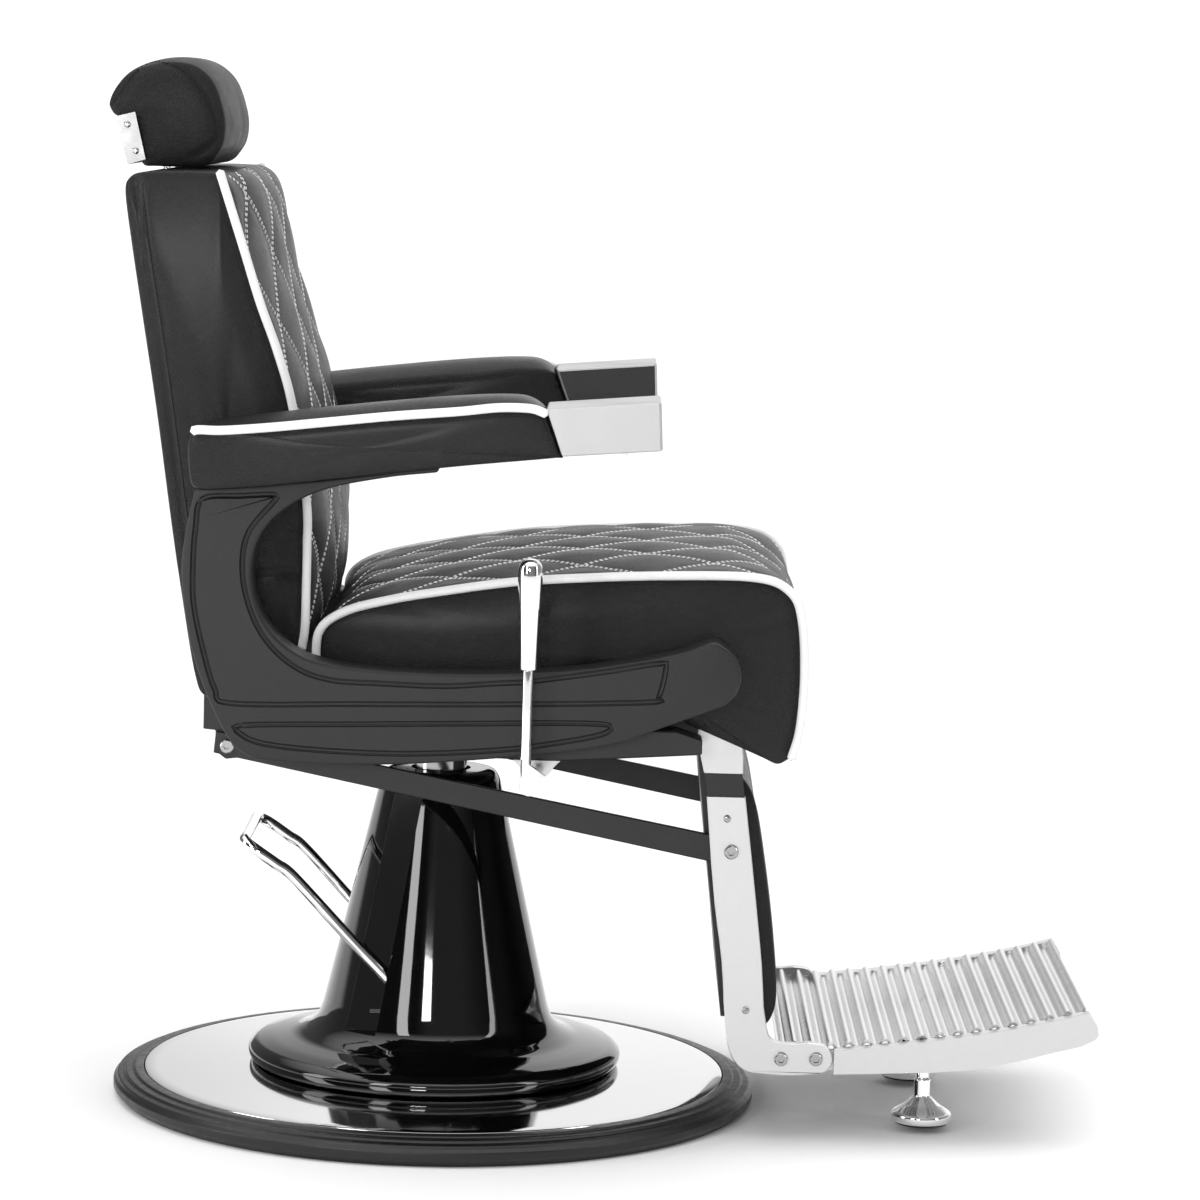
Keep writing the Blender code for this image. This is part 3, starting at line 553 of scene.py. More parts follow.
    def crease(self, path, side, depth, width):
        """Presses a line into one side panel. The path is XZ points."""
        line = catmull(path, width / 3)
        points = points_of(self.mesh)
        on_side = np.nonzero((points[:, 1] - self.middle) * side > self.half - 0.003)[0]
        gaps = np.full(len(on_side), 1.0)
        for x, z in line:
            gaps = np.minimum(gaps, np.hypot(points[on_side, 0] - x, points[on_side, 2] - z))
        points[on_side, 1] -= side * depth * np.exp(-((gaps / width) ** 2))
        set_points(self.mesh, points)

    def grid_points(self):
        return points_of(self.mesh)[: self.cover * self.columns].reshape(self.cover, self.columns, 3)

    def edge(self, side, first=0, last=None, out=0.0):
        """The piped edge on one side, from row to row, moved outward in Y."""
        column = 0 if side < 0 else self.columns - 1
        line = self.grid_points()[first : last or self.cover, column].copy()
        line[:, 1] += side * out
        return line

    def seam_rows(self):
        """(along, across) points of each quilting seam, a stitch apart."""
        rows = []
        total = self.along[-1]
        reach = int((total + self.half + self.phase) / self.pitch) + 2
        for family in (1, -1):
            for k in range(-reach, reach + 1):
                for apart in (-STITCH_ROWS / 2, STITCH_ROWS / 2):
                    start = (k * self.pitch - self.phase) * self.stretch + apart * math.sqrt(2)
                    steps = np.arange(-self.half + 0.009, self.half - 0.009, STITCH_PITCH / math.sqrt(2))
                    a = start - family * steps * self.stretch
                    keep = (a > 0.008) & (a < total - 0.008)
                    if keep.sum() > 2:
                        rows.append(np.stack([a[keep], steps[keep]], axis=1))
        return rows

    def on_cover(self, spots):
        """Places on the cover for (along, across) pairs, read between the grid's points."""
        grid = self.grid_points()
        rows = np.interp(spots[:, 0], self.along, np.arange(self.cover))
        columns = (spots[:, 1] + self.half) / (2 * self.half) * (self.columns - 1)
        i = np.clip(rows.astype(int), 0, self.cover - 2)
        j = np.clip(columns.astype(int), 0, self.columns - 2)
        u, v = (rows - i)[:, None], (columns - j)[:, None]
        along = (grid[i + 1, j] - grid[i, j]) * (1 - v) + (grid[i + 1, j + 1] - grid[i, j + 1]) * v
        across = (grid[i, j + 1] - grid[i, j]) * (1 - u) + (grid[i + 1, j + 1] - grid[i + 1, j]) * u
        place = grid[i, j] * (1 - u) * (1 - v) + grid[i + 1, j] * u * (1 - v)
        place += grid[i, j + 1] * (1 - u) * v + grid[i + 1, j + 1] * u * v
        normal = np.cross(across, along)
        normal /= np.linalg.norm(normal, axis=1, keepdims=True)
        outside = self.outward[np.clip(i, 0, self.rows - 1)]
        normal *= np.sign(normal[:, 0] * outside[:, 0] + normal[:, 2] * outside[:, 1])[:, None]
        return place, normal


def stitches(name, lines, finish, body, lift=0.0008, length=STITCH_LENGTH, radius=STITCH_R):
    """Thread: one short six-sided bead for each point of each line of (places, normals)."""
    points, faces = [], []
    for places, normals in lines:
        ways = np.gradient(places, axis=0)
        ways /= np.linalg.norm(ways, axis=1, keepdims=True) + 1e-12
        for place, normal, way in zip(places, normals, ways):
            side = np.cross(way, normal)
            centre = place + normal * lift
            base = len(points)
            for reach, size in ((-0.5, 0.35), (-0.3, 1.0), (0.3, 1.0), (0.5, 0.35)):
                for k in range(6):
                    angle = math.pi * k / 3
                    ring = math.cos(angle) * side + math.sin(angle) * normal
                    points.append(centre + way * length * reach + ring * radius * size)
            for low in range(base, base + 18, 6):
                faces += strip(low, low + 6, 6)
            faces.append(tuple(base + k for k in range(5, -1, -1)))
            faces.append(tuple(base + 18 + k for k in range(6)))
    return add(name, facing_out(mesh_from(name, points, faces)), finish, body)


def seam_stitches(name, cushion, finish, body):
    return stitches(name, [cushion.on_cover(row) for row in cushion.seam_rows()], finish, body)


def spaced(path, pitch):
    """The path's points again, one pitch apart."""
    path = np.asarray(path, float)
    lengths = lengths_of(path)
    return at_lengths(path, lengths, np.arange(pitch / 2, lengths[-1], pitch))


def on_side(cushion, path, side, pitch=0.0045):
    """(places, normals) of a row of stitches laid on a side panel. The path is XZ points."""
    panels = [tuple(face.vertices) for face in cushion.mesh.polygons]
    tree = BVHTree.FromPolygons(points_of(cushion.mesh).tolist(), panels)
    places, normals = [], []
    for x, _, z in spaced([(x, 0, z) for x, z in path], pitch):
        hit, normal, _, _ = tree.ray_cast((x, cushion.middle + side * 0.5, z), (0, -side, 0))
        if hit:
            places.append(tuple(hit))
            normals.append(tuple(normal if normal.y * side > 0 else -normal))
    return np.array(places), np.array(normals)


def soften(obj):
    obj.modifiers.new("smooth", "SUBSURF").levels = 1
    obj.modifiers["smooth"].render_levels = 1
    return obj


SEAT_COVER = [
    (-0.114, 0.47), (-0.1135, 0.495), (-0.107, 0.514), (-0.079, 0.531), (-0.01, 0.55), (0.076, 0.565),
    (0.163, 0.574), (0.25, 0.5765), (0.312, 0.5735), (0.342, 0.558), (0.354, 0.525), (0.3575, 0.47),
    (0.355, 0.42), (0.348, 0.396),
]
SEAT_EDGE = [
    (-0.114, 0.47), (-0.114, 0.496), (-0.111, 0.509), (-0.101, 0.52), (-0.079, 0.531), (-0.045, 0.54),
    (-0.01, 0.547), (0.076, 0.561), (0.163, 0.568), (0.224, 0.571), (0.285, 0.5725), (0.317, 0.5705),
    (0.335, 0.5645), (0.3485, 0.552), (0.3545, 0.534), (0.358, 0.506), (0.359, 0.464), (0.356, 0.423),
    (0.349, 0.396),
]
SEAT_PLAIN = [(0.336, 0.389), (0.32, 0.396), (0.245, 0.427), (0.23, 0.43)]
SEAT_PLAIN += [(-0.098, 0.43), (-0.112, 0.448)]


def edge_trim(name, cushion, body, tags="rl", first=0, inset=0.0075):
    """White piping on edges of the cover, and a row of dark stitches just below each."""
    lines = []
    for tag in tags:
        side = SIDES[tag]
        edge = cushion.edge(side, first, out=0.0026)
        piping = mesh_from("piping", *sweep(edge, PIPING_R))
        add(name + "_piping_" + tag, facing_out(piping), WHITE, body, smooth=60)
        ways = np.gradient(edge, axis=0)
        inward = np.stack([ways[:, 2], np.zeros(len(edge)), -ways[:, 0]], axis=1)
        inward /= np.linalg.norm(inward, axis=1, keepdims=True)
        outward = cushion.outward[first : cushion.cover]
        turn = np.sign(inward[:, 0] * outward[:, 0] + inward[:, 2] * outward[:, 1])
        lines.append(on_side(cushion, (edge - inward * turn[:, None] * inset)[:, [0, 2]], side, 0.0048))
    stitches(name + "_edge_stitching", lines, DARK_THREAD, body, 0.0003)


def make_seat():
    outline = (SEAT_COVER, SEAT_EDGE, SEAT_PLAIN)
    seat = Cushion("seat_upholstery", *outline, 0.244, (0.18, 0.49), 0.006, rings=26)
    points = points_of(seat.mesh)
    recess = (points[:, 0] > 0.236) & (points[:, 0] < 0.3185) & (np.abs(points[:, 1]) < 0.207)
    recess &= points[:, 2] < 0.4385
    points[recess, 2] = 0.4385
    set_points(seat.mesh, points)
    seat.inflate(2.2, 0.004)
    seat.quilt(QUILT_HEIGHT, QUILT_PITCH, QUILT_STRETCH, 0.02)
    obj = soften(add(seat.name, seat.mesh, BLACK_LEATHER, "seat", ["seat_cushion"]))
    edge_trim("seat", seat, "seat")
    seam_stitches("seat_stitching", seat, THREAD, "seat")


BACK_COVER = [
    (-0.215, 0.947), (-0.204, 0.9465), (-0.192, 0.939), (-0.183, 0.913), (-0.169, 0.848),
    (-0.154, 0.799), (-0.135, 0.738), (-0.113, 0.64), (-0.108, 0.6), (-0.111, 0.56), (-0.116, 0.521),
    (-0.128, 0.488),
]
BACK_EDGE = [
    (-0.216, 0.9475), (-0.2045, 0.913), (-0.192, 0.875), (-0.175, 0.823), (-0.158, 0.778),
    (-0.142, 0.724), (-0.127, 0.634), (-0.1255, 0.59), (-0.1255, 0.546), (-0.126, 0.51), (-0.129, 0.487),
]
BACK_PLAIN = [
    (-0.136, 0.484), (-0.19, 0.442), (-0.22, 0.439), (-0.232, 0.46), (-0.247, 0.542), (-0.258, 0.611),
    (-0.273, 0.713), (-0.288, 0.804), (-0.3005, 0.88), (-0.307, 0.928), (-0.302, 0.941), (-0.29, 0.9455),
    (-0.25, 0.9475),
]


def make_back():
    outline = (BACK_COVER, BACK_EDGE, BACK_PLAIN)
    back = Cushion("back_upholstery", *outline, 0.239, (-0.205, 0.7), 0.0075, rings=32)
    back.inflate(1.8, 0.004)
    for side in SIDES.values():
        back.crease(BACK_SEAM, side, 0.0026, 0.004)
        back.crease([(-0.252, 0.556), (-0.13, 0.566)], side, 0.0022, 0.004)
    back.quilt(QUILT_HEIGHT, QUILT_PITCH, QUILT_STRETCH, 0.03)
    obj = soften(add(back.name, back.mesh, BLACK_LEATHER, "backrest", ["back_cushion"]))
    edge_trim("back", back, "backrest")
    seam_stitches("back_stitching", back, THREAD, "backrest")
    lines = []
    for side in SIDES.values():
        lines.append(on_side(back, catmull([(x + 0.0045, z) for x, z in BACK_SEAM], 0.004), side))
        for drop in (0.0035, -0.0035):
            lines.append(on_side(back, [(-0.246, 0.5565 - drop), (-0.13, 0.566 - drop)], side))
    stitches("back_side_stitching", lines, DARK_THREAD, "backrest", 0.0003)


BACK_SEAM = [(-0.295, 0.935), (-0.288, 0.88), (-0.274, 0.8), (-0.26, 0.713), (-0.245, 0.611)]
BACK_SEAM += [(-0.234, 0.542), (-0.226, 0.49), (-0.215, 0.45)]


# ---------------------------------------------------------------- headrest, arms and calf pad


HEAD_COVER = [
    (-0.336, 1.008), (-0.3345, 1.02), (-0.327, 1.036), (-0.313, 1.047), (-0.29, 1.055), (-0.268, 1.057),
    (-0.248, 1.053), (-0.23, 1.038), (-0.2205, 1.016), (-0.2155, 0.992), (-0.219, 0.972),
    (-0.232, 0.957),
]
HEAD_PLAIN = [(-0.244, 0.9505), (-0.29, 0.9495), (-0.303, 0.953), (-0.314, 0.994), (-0.329, 0.9975)]
HEAD_SEAM = [(-0.331, 1.012), (-0.304, 1.047), (-0.278, 1.05), (-0.256, 1.039), (-0.239, 1.017)]
HEAD_SEAM += [(-0.229, 0.988), (-0.235, 0.971), (-0.252, 0.96)]


def make_headrest():
    outline = (HEAD_COVER, drawn_in(HEAD_COVER, 0.0055), HEAD_PLAIN)
    head = Cushion("headrest_upholstery", *outline, 0.1345, (-0.27, 1.000), 0.0075, rings=24)
    points = points_of(head.mesh)
    notch = (np.abs(points[:, 1]) < 0.0345) & (points[:, 2] < 0.9925) & (points[:, 0] < -0.2735)
    points[notch, 2] = 0.9925
    set_points(head.mesh, points)
    head.inflate(1.6, 0.004)
    for side in SIDES.values():
        head.crease(HEAD_SEAM, side, 0.0022, 0.0036)
    obj = soften(add(head.name, head.mesh, HEAD_LEATHER, "headrest", ["headrest_cushion"]))
    lines = [on_side(head, catmull(HEAD_SEAM, 0.004), side) for side in SIDES.values()]
    stitches("headrest_stitching", lines, DARK_THREAD, "headrest", 0.0003)
    for tag, side in SIDES.items():
        for k, (x, z) in enumerate(((-0.3165, 0.9895), (-0.308, 0.964))):
            cross_screw(f"headrest_screw_{k}_{tag}", (x, side * 0.1435, z), side, 0.0034, "headrest")


ARM_COVER = [
    (-0.2305, 0.664), (-0.233, 0.685), (-0.23, 0.702), (-0.219, 0.711), (-0.194, 0.716), (-0.092, 0.73),
    (0.021, 0.743), (0.07, 0.746), (0.088, 0.744), (0.1, 0.737), (0.104, 0.731),
]
ARM_EDGE = [
    (-0.2305, 0.664), (-0.2325, 0.69), (-0.2305, 0.703), (-0.224, 0.708), (-0.201, 0.708),
    (-0.156, 0.712), (-0.106, 0.718), (-0.039, 0.726), (0.023, 0.732), (0.059, 0.7365), (0.09, 0.7365),
    (0.104, 0.732),
]
ARM_PLAIN = [(0.118, 0.6935), (0.115, 0.6905), (0.024, 0.68), (-0.11, 0.6625), (-0.172, 0.655)]
ARM_PLAIN += [(-0.223, 0.6525)]


def make_arm_pads():
    for tag, side in SIDES.items():
        middle = side * 0.30275
        name = "arm_upholstery_" + tag
        pad = Cushion(name, ARM_COVER, ARM_EDGE, ARM_PLAIN, 0.0452, (-0.06, 0.695), 0.0042, middle, 18)
        pad.inflate(1.2, 0.004, frames=8)
        obj = soften(add(pad.name, pad.mesh, BLACK_LEATHER, "seat", ["arm_pad_" + tag]))
        corner = pad.edge(side) - np.array((-0.229, pad.middle, 0.705))
        first = int(np.argmin(np.hypot(corner[:, 0], corner[:, 2])))
        edge_trim("arm_" + tag, pad, "seat", tag, first)
        # Painted reflection: a thin black sheet on the inner face of the polished arm front, standing in for
        # the dark that this face reflects.
        painted_reflection_sheet = [(0.1075, 0.734), (0.122, 0.6945), (0.212, 0.702), (0.21, 0.743)]
        low, high = sorted((side * 0.2527, side * 0.2536))
        plate = slab("painted_reflection_sheet", painted_reflection_sheet, low, high)
        add("arm_painted_reflection_sheet_" + tag, plate, STEEL_BLACK, "seat", smooth=30)
        screw = [(0, 0), (0.0045, 0), (0.0042, 0.0022), (0, 0.0032)]
        under = (0.181, side * 0.33, 0.6974)
        turned("arm_screw_" + tag, screw, CHROME, "seat", (), under, (0, 0, -1), 32)


CALF_COVER = [
    (0.325, 0.1155), (0.335, 0.118), (0.3395, 0.132), (0.34, 0.15), (0.337, 0.185), (0.33, 0.242),
    (0.32, 0.305), (0.313, 0.342), (0.306, 0.36), (0.296, 0.369),
]
CALF_PLAIN = [(0.275, 0.37), (0.2805, 0.313), (0.296, 0.181), (0.301, 0.12)]


def make_calf_pad():
    edge = drawn_in(CALF_COVER, 0.005)
    pad = Cushion("calf_upholstery", CALF_COVER, edge, CALF_PLAIN, 0.173, (0.312, 0.24), 0.002, rings=8)
    pad.inflate(1.4, 0.004, frames=8)
    obj = soften(add(pad.name, pad.mesh, BLACK_LEATHER, "legrest", ["calf_pad"]))


# ---------------------------------------------------------------- metal and plastic


def turned(name, profile, finish, body, replaces=(), place=(0, 0, 0), axis=(0, 0, 1), segments=96):
    """A turned piece whose profile of (radius, height) points stands on `place` along `axis`."""
    mesh = standing(lathe(profile, segments), place, axis)
    return add(name, facing_out(mesh), finish, body, replaces, smooth=32)


def rounded(points, size, steps=4):
    """A profile with each inner corner rounded by about `size`."""
    points = [np.array(p, float) for p in points]
    made = [points[0]]
    for before, here, after in zip(points, points[1:], points[2:]):
        a, b = before - here, after - here
        la, lb = np.linalg.norm(a), np.linalg.norm(b)
        reach = min(size, la * 0.45, lb * 0.45)
        start, end = here + a / la * reach, here + b / lb * reach
        for t in np.linspace(0, 1, steps + 1):
            made.append((1 - t) ** 2 * start + 2 * t * (1 - t) * here + t**2 * end)
    return made + [points[-1]]


def ring_of(reach, height):
    """A ring of points round Z. The reach is a number, or a function of the angle."""
    made = []
    for k in range(HEAD_SIDES):
        angle = 2 * math.pi * k / HEAD_SIDES
        made.append((*polar(reach(angle) if callable(reach) else reach, angle), height))
    return made


def hexagon(radius):
    sixth = math.pi / 3
    return lambda angle: radius * math.cos(sixth / 2) / math.cos(angle % sixth - sixth / 2)


def cross(radius):
    return lambda angle: radius * (0.15 + 0.42 * max(0.0, math.cos(2 * angle) ** 2 - 0.55) / 0.45)


def recessed_head(name, rings, floor, place, side, body, replaces=()):
    """A bolt or screw head built from (reach, height) rings, facing out along Y."""
    rows = [ring_of(reach, height) for reach, height in rings]
    points = [p for row in rows for p in row] + [(0, 0, floor), (0, 0, 0)]
    faces = []
    last = (len(rows) - 1) * HEAD_SIDES
    for low in range(0, last, HEAD_SIDES):
        faces += strip(low, low + HEAD_SIDES, HEAD_SIDES)
    for k in range(HEAD_SIDES):
        other = (k + 1) % HEAD_SIDES
        faces.append((last + k, last + other, len(points) - 2))
        faces.append((other, k, len(points) - 1))
    mesh = on_y(mesh_from(name, points, faces), place, side)
    return add(name, facing_out(mesh), BOLT, body, replaces, smooth=32)


def socket_bolt(name, place, side, radius, height, body, replaces=()):
    """A button head with a hexagonal socket."""
    rings = [(radius, 0), (radius, height * 0.45), (radius * 0.93, height * 0.85), (radius * 0.8, height)]
    rings += [(hexagon(radius * 0.5), height), (hexagon(radius * 0.48), height * 0.25)]
    return recessed_head(name, rings, height * 0.2, place, side, body, replaces)


def cross_screw(name, place, side, radius, body):
    """A small raised head with a cross recess."""
    rings = [(radius, 0.0), (radius * 0.97, radius * 0.25), (radius * 0.8, radius * 0.42)]
    rings += [(radius * 0.62, radius * 0.5), (cross(radius), radius * 0.5), (cross(radius), radius * 0.15)]
    return recessed_head(name, rings, radius * 0.12, place, side, body)


def disc_height(radius):
    """The polished disc's top: a shallow cone that falls from the ram to the ring."""
    return 0.0278 + (0.043 - 0.0278) * max(0.0, 1 - (radius - 0.06) / (0.2985 - 0.06))


def make_base():
    ring = [
        (0.299, 0.01),
        (0.299, 0.0275),
        (0.3085, 0.027),
        (0.31, 0.025),
        (0.3175, 0.0245),
        (0.319, 0.022),
        (0.3255, 0.021),
        (0.327, 0.018),
        (0.33, 0.015),
        (0.33, 0.008),
        (0.322, 0.0),
        (0.299, 0.0),
        (0.299, 0.01),
    ]
    ring = rounded(ring, 0.0012)[:-1]
    turned("base_ring", ring, RUBBER, "base", ["base_rubber_ring"], segments=256)
    top = [(r, disc_height(r)) for r in np.linspace(0.06, 0.2955, 24)]
    under = [(r, disc_height(r) - 0.003) for r in np.linspace(0.288, 0.06, 8)]
    rim = [(0.2978, disc_height(0.2955) - 0.0006), (0.2985, 0.0262), (0.2985, 0.0228), (0.2885, 0.0228)]
    turned("base_plate_polished", top + rim + under, DISC, "base", ["base_disc"], segments=256)


def cover_radius(z):
    """The column cover's radius at a height: it tapers upwards."""
    return 0.0596 + (0.337 - z) * 0.2315


def block(name, rows):
    """A hidden block for a Boolean, from the corners of its two ends."""
    mesh = bpy.data.meshes.new(name)
    shape = bmesh.new()
    for p in rows:
        shape.verts.new(p)
    bmesh.ops.convex_hull(shape, input=shape.verts)
    bmesh.ops.recalc_face_normals(shape, faces=shape.faces)
    shape.to_mesh(mesh)
    shape.free()
    return mesh


def boolean(mesh, cutters, operation="DIFFERENCE", solver="EXACT"):
    """The mesh after a Boolean with each cutter."""
    obj = bpy.data.objects.new("target", mesh)
    bpy.context.scene.collection.objects.link(obj)
    for cutter in cutters:
        other = bpy.data.objects.new("cutter", cutter)
        bpy.context.scene.collection.objects.link(other)
        modified(obj, "BOOLEAN", object=other, operation=operation, solver=solver)
        bpy.data.objects.remove(other, do_unlink=True)
    result = obj.data
    bpy.data.objects.remove(obj, do_unlink=True)
    return result


def cover_cutter(side, shrink):
    """The block that cuts the flats beside the pedal from the cover."""
    rows = []
    for z, x, y in ((0.08 - shrink, -0.0565, 0.0805), (0.345, -0.011, 0.042)):
        for px in (-0.3, x + shrink):
            for py in (y - shrink, 0.2):
                rows.append((px, side * py, z))
    return block("cutter", rows)


def make_column():
    foot = disc_height(0.178) + 0.0004
    outer = [(0.0, 0.3405), (0.05, 0.3405), (0.0565, 0.338)]
    outer += [(cover_radius(z), z) for z in (0.33, 0.18, 0.094)]
    outer += [(0.1205, 0.081), (0.129, 0.072), (0.144, 0.0645), (0.168, 0.06), (0.185, 0.0555)]
    outer += [(0.192, 0.049), (0.1918, 0.042), (0.188, foot), (0.0, foot)]
    solid = boolean(lathe(rounded(outer, 0.006, 5), 192), [cover_cutter(side, 0) for side in SIDES.values()])
    inner = [(0.0, 0.336), (cover_radius(0.336) - 0.009, 0.336)]
    inner += [(cover_radius(z) - 0.0045, z) for z in (0.26, 0.18, 0.094)]
    inner += [(0.125, 0.068), (0.145, 0.059), (0.18, 0.05), (0.179, 0.01), (0.0, 0.01)]
    hollow = boolean(lathe(inner, 96), [cover_cutter(side, 0.0045) for side in SIDES.values()])
    tools = [hollow]
    for side in SIDES.values():
        low, high = sorted((side * 0.0772, side * 0.0928))
        corners = [(x, y, z) for x in (-0.064, -0.03) for y in (low, high) for z in (0.098, 0.16)]
        tools.append(block("slot", corners))
    tools.append(lathe([(0, 0.3), (0.0305, 0.3), (0.0305, 0.36), (0, 0.36)], 96))
    shell = boolean(solid, tools)
    obj = add("column_shell", shell, PIANO, "base", ["column_cover"], smooth=0)
    modified(obj, "BEVEL", width=0.0022, segments=3, limit_method="ANGLE", angle_limit=math.radians(38))
    obj.data.shade_smooth()
    obj.data.set_sharp_from_angle(angle=math.radians(42))
    obj.modifiers.new("normals", "WEIGHTED_NORMAL").keep_sharp = True
    ram = rounded([(0, 0.06), (0.0265, 0.06), (0.0265, 0.3722), (0, 0.3722)], 0.0008)
    turned("ram_polished", ram, RAM_STEEL, "ram", ["ram"])


def make_pedal():
    """The pump pedal: a bent U of polished rod with a hub on each pin."""
    leg = [(-0.029, 0.118), (-0.06, 0.1495), (-0.088, 0.178), (-0.143, 0.2365)]
    leg += [(-0.161, 0.2495), (-0.181, 0.263)]
    bend = [(-0.1925, -0.0785, 0.27), (-0.1945, -0.066, 0.2715), (-0.1945, -0.03, 0.2715)]
    near = [(x, -0.085, z) for x, z in leg] + bend
    far = [(x, -y, z) for x, y, z in reversed(near)]
    mesh = facing_out(mesh_from("pedal", *sweep(catmull(near + far, 0.004), 0.006, 20)))
    hubs = []
    for side in SIDES.values():
        hub = lathe(rounded([(0, -0.008), (0.0105, -0.008), (0.0105, 0.008), (0, 0.008)], 0.001), 48)
        hubs.append(facing_out(on_y(hub, (-0.029, side * 0.085, 0.118))))
    add("pedal_rod", boolean(mesh, hubs, "UNION"), CHROME, "pump_pedal", ["pump_pedal"], smooth=45)


def make_feet():
    for tag, side in SIDES.items():
        place = (0.498, side * 0.106, 0)
        bell = [
            (0.0, 0.0905),
            (0.0062, 0.0905),
            (0.0062, 0.053),
            (0.0082, 0.052),
            (0.0082, 0.034),
            (0.0115, 0.0315),
            (0.018, 0.0255),
            (0.0285, 0.019),
            (0.0305, 0.0165),
            (0.0305, 0.009),
            (0.0, 0.009),
        ]
        foot = "foot_" + tag
        turned("foot_bell_" + tag, rounded(bell, 0.0016), CHROME, foot, [foot], place)
        pad = [(0.0, 0.0087), (0.0275, 0.0087), (0.0275, 0.0074), (0.0265, 0.0066), (0.0, 0.0066)]
        pad = rounded(pad, 0.0008)
        turned("foot_ring_" + tag, pad, RUBBER, foot, ["foot_pad_" + tag], place)


def make_tread():
    """The footrest: a waved sheet that curves upwards towards its front."""
    steps, low = WAVES * 20, 0.346
    top = []
    for step in range(steps + 1):
        x = low + WAVES * WAVE_LENGTH * step / steps
        reach = max(0.0, x - 0.4)
        wave = WAVE_HEIGHT * math.cos(2 * math.pi * (x - low) / WAVE_LENGTH)
        top.append((x, 0.103 + 0.09 * reach + 0.3 * reach * reach + wave - WAVE_HEIGHT))
    profile = top + [(x, z - 0.0038) for x, z in reversed(top)]
    points = [(x, y, z) for y in (-0.1802, 0.1802) for x, z in profile]
    count = len(profile)
    faces = strip(0, count, count)
    for base in (0, count):
        faces += [(base + k, base + k + 1, base + count - 2 - k, base + count - 1 - k) for k in range(steps)]
    mesh = facing_out(mesh_from("tread", points, faces))
    add("tread_waves", mesh, TREAD, "legrest", ["footrest_tread"], smooth=40)


def make_lever():
    x, y = 0.093, -0.335
    rod = lathe(rounded([(0, 0.372), (0.0052, 0.372), (0.0052, 0.4868), (0, 0.4868)], 0.0004), 40, (x, y))
    corners = [(0.0885, 0.369), (0.0965, 0.3665), (0.1125, 0.377), (0.1115, 0.3865), (0.0885, 0.402)]
    lug = block("lug", [(px, py, pz) for py in (y - 0.0045, y + 0.0045) for px, pz in corners])
    shaft = on_y(lathe([(0, 0), (0.0055, 0), (0.0055, 0.0747), (0, 0.0747)], 40), (0.104, y, 0.38))
    whole = boolean(facing_out(rod), [lug, facing_out(shaft)], "UNION")
    obj = add("lever_rod", whole, CHROME, "lever", ["recline_lever"], smooth=0)
    modified(obj, "BEVEL", width=0.0006, segments=2, limit_method="ANGLE", angle_limit=math.radians(50))
    obj.data.shade_smooth()
    obj.data.set_sharp_from_angle(angle=math.radians(30))
    grip = [(0.0, 0.594), (0.007, 0.5925), (0.0112, 0.587), (0.012, 0.576), (0.0085, 0.488)]
    grip = rounded(grip + [(0.0075, 0.4871), (0, 0.4871)], 0.003)
    turned("lever_handle", grip, CHROME, "lever", ["lever_grip"], (x, y, 0))


def make_bolts():
    for tag, side in SIDES.items():
        post, link = side * 0.1973, side * 0.187
        for name, (x, z), y, r, body in (
            ("post_bolt", (0.295, 0.294), post, 0.0072, "legrest"),
            ("toe_bolt", (0.385, 0.0887), post, 0.0068, "legrest"),
            ("heel_bolt", (0.3505, 0.0878), post, 0.0068, "legrest"),
            ("link_bolt", (-0.204, 0.384), link, 0.0072, "link_" + tag),
        ):
            socket_bolt(f"{name}_head_{tag}", (x, y, z), side, r, 0.0045, body, [f"{name}_{tag}"])
        cross_screw("post_screw_top_" + tag, (0.29, post, 0.327), side, 0.0038, "legrest")
        cross_screw("post_screw_low_" + tag, (0.314, post, 0.136), side, 0.0038, "legrest")


# ---------------------------------------------------------------- side frames


FRAME_BACK = [(-0.2285, 0.649, 1), (-0.237, 0.606), (-0.24, 0.565), (-0.233, 0.51), (-0.218, 0.461)]
FRAME_HEEL = [(-0.196, 0.415), (-0.178, 0.396), (-0.15, 0.3885), (-0.05, 0.388)]
FRAME_BELLY = [(0.062, 0.397), (0.167, 0.412), (0.228, 0.4335)]
FRAME_TOP = [(0.238, 0.5035), (0.186, 0.492), (0.126, 0.483), (0.045, 0.478), (-0.041, 0.4785)]
FRAME_HOLLOW = [(-0.105, 0.485), (-0.14, 0.501), (-0.164, 0.53), (-0.173, 0.568), (-0.166, 0.604)]
FRAME_HOLLOW += [(-0.143, 0.631), (-0.105, 0.651), (-0.047, 0.664), (0.003, 0.6705, 1)]
FRAME_UNDER_ARM = [(0.003, 0.677, 1), (-0.11, 0.661, 1), (-0.172, 0.654, 1)]
BIG_GROOVE = [
    (-0.221, 0.639), (-0.185, 0.643), (-0.153, 0.645), (-0.152, 0.64), (-0.177, 0.608), (-0.182, 0.572),
    (-0.174, 0.535), (-0.157, 0.504), (-0.129, 0.48), (-0.096, 0.469), (-0.05, 0.467), (0.011, 0.466),
    (0.062, 0.47), (0.096, 0.473), (0.166, 0.484), (0.218, 0.4935), (0.224, 0.49), (0.218, 0.462),
    (0.208, 0.456), (0.066, 0.45), (-0.07, 0.4465), (-0.19, 0.444), (-0.206, 0.457), (-0.219, 0.498),
    (-0.228, 0.54), (-0.229, 0.579), (-0.227, 0.612),
]
LOW_GROOVE = [
    (-0.178, 0.423), (-0.07, 0.427), (0.048, 0.431), (0.12, 0.4335), (0.17, 0.433), (0.165, 0.424),
    (0.12, 0.414), (0.067, 0.406), (-0.02, 0.4), (-0.103, 0.401), (-0.159, 0.406), (-0.181, 0.415),
]


def arc(centre, radius, start, end, count):
    angles = [math.radians(start + (end - start) * k / (count - 1)) for k in range(count)]
    return [(centre[0] + radius * math.cos(a), centre[1] + radius * math.sin(a)) for a in angles]


